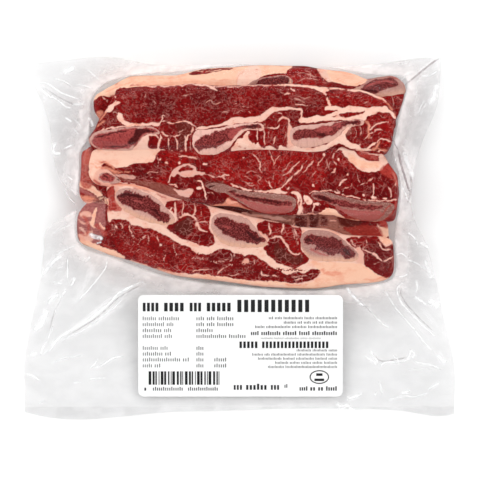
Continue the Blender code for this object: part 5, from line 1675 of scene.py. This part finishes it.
# Rows of plain print: left, right, y, height, inked share and the lengths of the groups
ROWS = (
    (-67.5, -5.0, -49.4, 6.0, 0.66, (4, 5, 3, 6)), (-1.5, 50.5, -48.6, 8.6, 0.6, (1,)),
    (-67.5, -41.5, -57.3, 2.6, 0.36, (4, 6)), (-30, -3.5, -57.3, 2.6, 0.4, (2, 2, 4)),
    (-67.5, -45.5, -61.4, 2.6, 0.36, (6, 2)), (-30, -3.5, -61.4, 2.6, 0.4, (2, 2, 4)),
    (-67.5, -47.0, -65.6, 2.6, 0.36, (5, 2)), (-30, -18, -65.6, 2.6, 0.4, (1,)),
    (-67.5, -46.5, -69.7, 2.6, 0.36, (5, 2)), (-30, 5, -69.7, 2.6, 0.4, (7, 4)),
    (-67.5, -49.5, -78, 2.6, 0.36, (4, 2)), (-30, -24.5, -78, 2.6, 0.4, (1,)),
    (-67.5, -47.0, -82, 2.6, 0.36, (6, 2)), (-30, -24.5, -82, 2.6, 0.4, (1,)),
    (-67.5, -34.5, -86.1, 2.6, 0.36, (11, 2)), (-30, -24.5, -86.1, 2.6, 0.4, (1,)),
    (-17.5, -8.5, -86.1, 2.6, 0.4, (1,)),
    (-67.5, -54.5, -90.3, 2.6, 0.36, (3, 2)), (-30, -24.5, -90.3, 2.6, 0.4, (1,)),
    (-17.5, -8.5, -90.3, 2.6, 0.4, (1,)),
    (20.5, 68.6, -57.0, 1.8, 0.45, (2, 3, 8, 4, 9)), (31, 68.6, -60.1, 1.8, 0.45, (5, 2, 3, 2, 2, 5)),
    (11, 68.6, -63.2, 1.8, 0.45, (4, 10, 6, 12)), (8, 68.6, -67.6, 2.8, 0.58, (3, 7, 5, 4, 9)),
    (15, 57, -71.2, 1.3, 0.3, (5, 4, 6, 3, 5)), (0, 63, -75.8, 4.6, 0.62, (2, 7)),
    (40, 68.6, -79.6, 1.7, 0.42, (5, 5, 3)), (9, 68.6, -82.5, 1.7, 0.42, (4, 2, 9, 10, 4)),
    (13, 68.6, -85.4, 1.7, 0.42, (8, 4, 6, 4, 3)), (25, 68.6, -88.3, 1.7, 0.42, (4, 3, 3, 3, 4)),
    (20, 68.6, -91.2, 1.7, 0.42, (5, 16)), (-4, 28.5, -105.2, 4.2, 0.6, (3, 7, 3)),
    (31.5, 34, -104.6, 2.6, 0.5, (1,)), (42, 68.6, -106.4, 3.0, 0.6, (3, 2, 2, 4)),
    (-66.5, -64.5, -106.6, 2.6, 0.6, (1,)), (-60.5, -39, -106.6, 2.6, 0.45, (1,)),
    (-36, -14.5, -106.6, 2.6, 0.45, (1,)),
)


def make_barcode(mesh):
    """A block of plain stripes of mixed widths."""
    left, right, low, high = STRIPES_BOX
    unit = (right - left) / STRIPE_UNITS
    x, k = left, 0
    while x < right - 3 * unit:
        wide = unit * (1 + (k * 7 + 3) % 4 * 0.8)
        ink_plate(mesh, x, min(x + wide, right), low, high)
        x += wide + unit * (1 + (k * 5 + 1) % 3 * 0.7)
        k += 1


def make_stamp(mesh):
    """A plain oval ring with two plain bars in it."""
    made = bmesh.ops.create_circle(mesh, segments=64, radius=1)["verts"]
    inner = bmesh.ops.create_circle(mesh, segments=64, radius=1)["verts"]
    for verts, spare in ((made, 0), (inner, STAMP_WALL)):
        for v in verts:
            v.co.x = STAMP_MIDDLE[0] + v.co.x * (STAMP_RADII[0] - spare)
            v.co.y = STAMP_MIDDLE[1] + v.co.y * (STAMP_RADII[1] - spare)
            v.co.z = label_height(v.co.y) + PRINT_LIFT
    edges = {e for v in (*made, *inner) for e in v.link_edges}
    bridge = bmesh.ops.bridge_loops(mesh, edges=list(edges))["faces"]
    raised = bmesh.ops.extrude_face_region(mesh, geom=bridge)["geom"]
    bmesh.ops.translate(
        mesh, vec=(0, 0, PRINT_THICKNESS), verts=[g for g in raised if isinstance(g, bmesh.types.BMVert)])
    ink_plate(mesh, 53.6, 58.0, -97.6, -95.8)
    ink_plate(mesh, 52.4, 59.2, -101.2, -99.5)


def finish_print(name, mesh, ink):
    """Puts one part of the print in the scene, on the label's face."""
    bmesh.ops.recalc_face_normals(mesh, faces=mesh.faces)
    data = close_bmesh(mesh, name)
    piece = finish_piece(name, data, ink)
    data.shade_flat()


def make_label():
    """The label's paper, and its print as plain blocks, stripes and a ring."""
    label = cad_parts["label"]
    label.data.materials.clear()
    label.data.materials.append(paper_material())
    ink = ink_material()
    mesh = bmesh.new()
    for row in ROWS:
        word_row(mesh, *row)
    finish_print("print_rows", mesh, ink)
    mesh = bmesh.new()
    make_barcode(mesh)
    finish_print("print_stripes", mesh, ink)
    mesh = bmesh.new()
    make_stamp(mesh)
    finish_print("print_ring", mesh, ink)


# Room

FLOOR_LEVEL = -0.0004
FLOOR_COLOUR = (0.93, 0.93, 0.93)

# Lamps: name, place, size and power
LAMPS = (
    ("left_box", (-1.5, 0.25, 1.15), (0.9, 1.3), 14), ("right_box", (1.5, 0.25, 1.15), (0.9, 1.3), 13),
    ("back_box", (0.0, 1.6, 1.1), (1.4, 0.7), 10), ("front_box", (0.0, -1.6, 1.1), (1.4, 0.7), 8),
)

# The room's light by height: 0.9 at the walls, falling to 0.12 straight above
WORLD_FALL = (("From Min", 0.62), ("From Max", 0.86), ("To Min", 0.9), ("To Max", 0.12))


def make_floor():
    """A plain matt white surface just below the pouch, which is no part of it."""
    mesh = bmesh.new()
    bmesh.ops.create_grid(mesh, x_segments=1, y_segments=1, size=4)
    data = close_bmesh(mesh, "floor")
    floor = bpy.data.objects.new("floor", data)
    bpy.context.scene.collection.objects.link(floor)
    floor.location.z = FLOOR_LEVEL
    n = Nodes("floor")
    n.set("Base Color", FLOOR_COLOUR)
    n.set("Roughness", 0.9)
    n.set("Specular IOR Level", 0.0)
    data.materials.append(n.material)


def make_light(name, place, size, power):
    """A soft box that faces the pouch."""
    lamp = bpy.data.lights.new(name, "AREA")
    lamp.shape = "RECTANGLE"
    lamp.size, lamp.size_y = size
    lamp.energy = power
    light = bpy.data.objects.new(name, lamp)
    light.location = place
    light.rotation_euler = (-Vector(place)).to_track_quat("-Z", "Y").to_euler()
    bpy.context.scene.collection.objects.link(light)


def make_world():
    """Light from all round the room and little from straight above, so that flat film stays clear."""
    world = bpy.data.worlds.new("room")
    world.use_nodes = True
    tree = world.node_tree
    back = tree.nodes["Background"]
    place = tree.nodes.new("ShaderNodeTexCoord")
    parts = tree.nodes.new("ShaderNodeSeparateXYZ")
    level = tree.nodes.new("ShaderNodeMapRange")
    level.interpolation_type = "SMOOTHSTEP"
    for name, value in WORLD_FALL:
        level.inputs[name].default_value = value
    tree.links.new(place.outputs["Generated"], parts.inputs[0])
    tree.links.new(parts.outputs["Z"], level.inputs["Value"])
    tree.links.new(level.outputs[0], back.inputs["Strength"])
    back.inputs["Color"].default_value = (1, 1, 1, 1)
    bpy.context.scene.world = world


def make_room():
    """Plain soft studio light and a camera straight above the pouch."""
    make_floor()
    for lamp in LAMPS:
        make_light(*lamp)
    make_world()
    bpy.context.scene.view_settings.view_transform = "Standard"
    camera = bpy.data.objects.new("camera", bpy.data.cameras.new("camera"))
    camera.data.lens = camera.data.sensor_width * CAMERA_DISTANCE / (FRAME_WIDTH * MM)
    camera.location = (
        (FRAME_MIDDLE[0] + SHIFT[0]) * MM, (FRAME_MIDDLE[1] + SHIFT[1]) * MM, CAMERA_DISTANCE)
    bpy.context.scene.collection.objects.link(camera)
    bpy.context.scene.camera = camera


make_meat()
make_film()
make_label()
make_room()
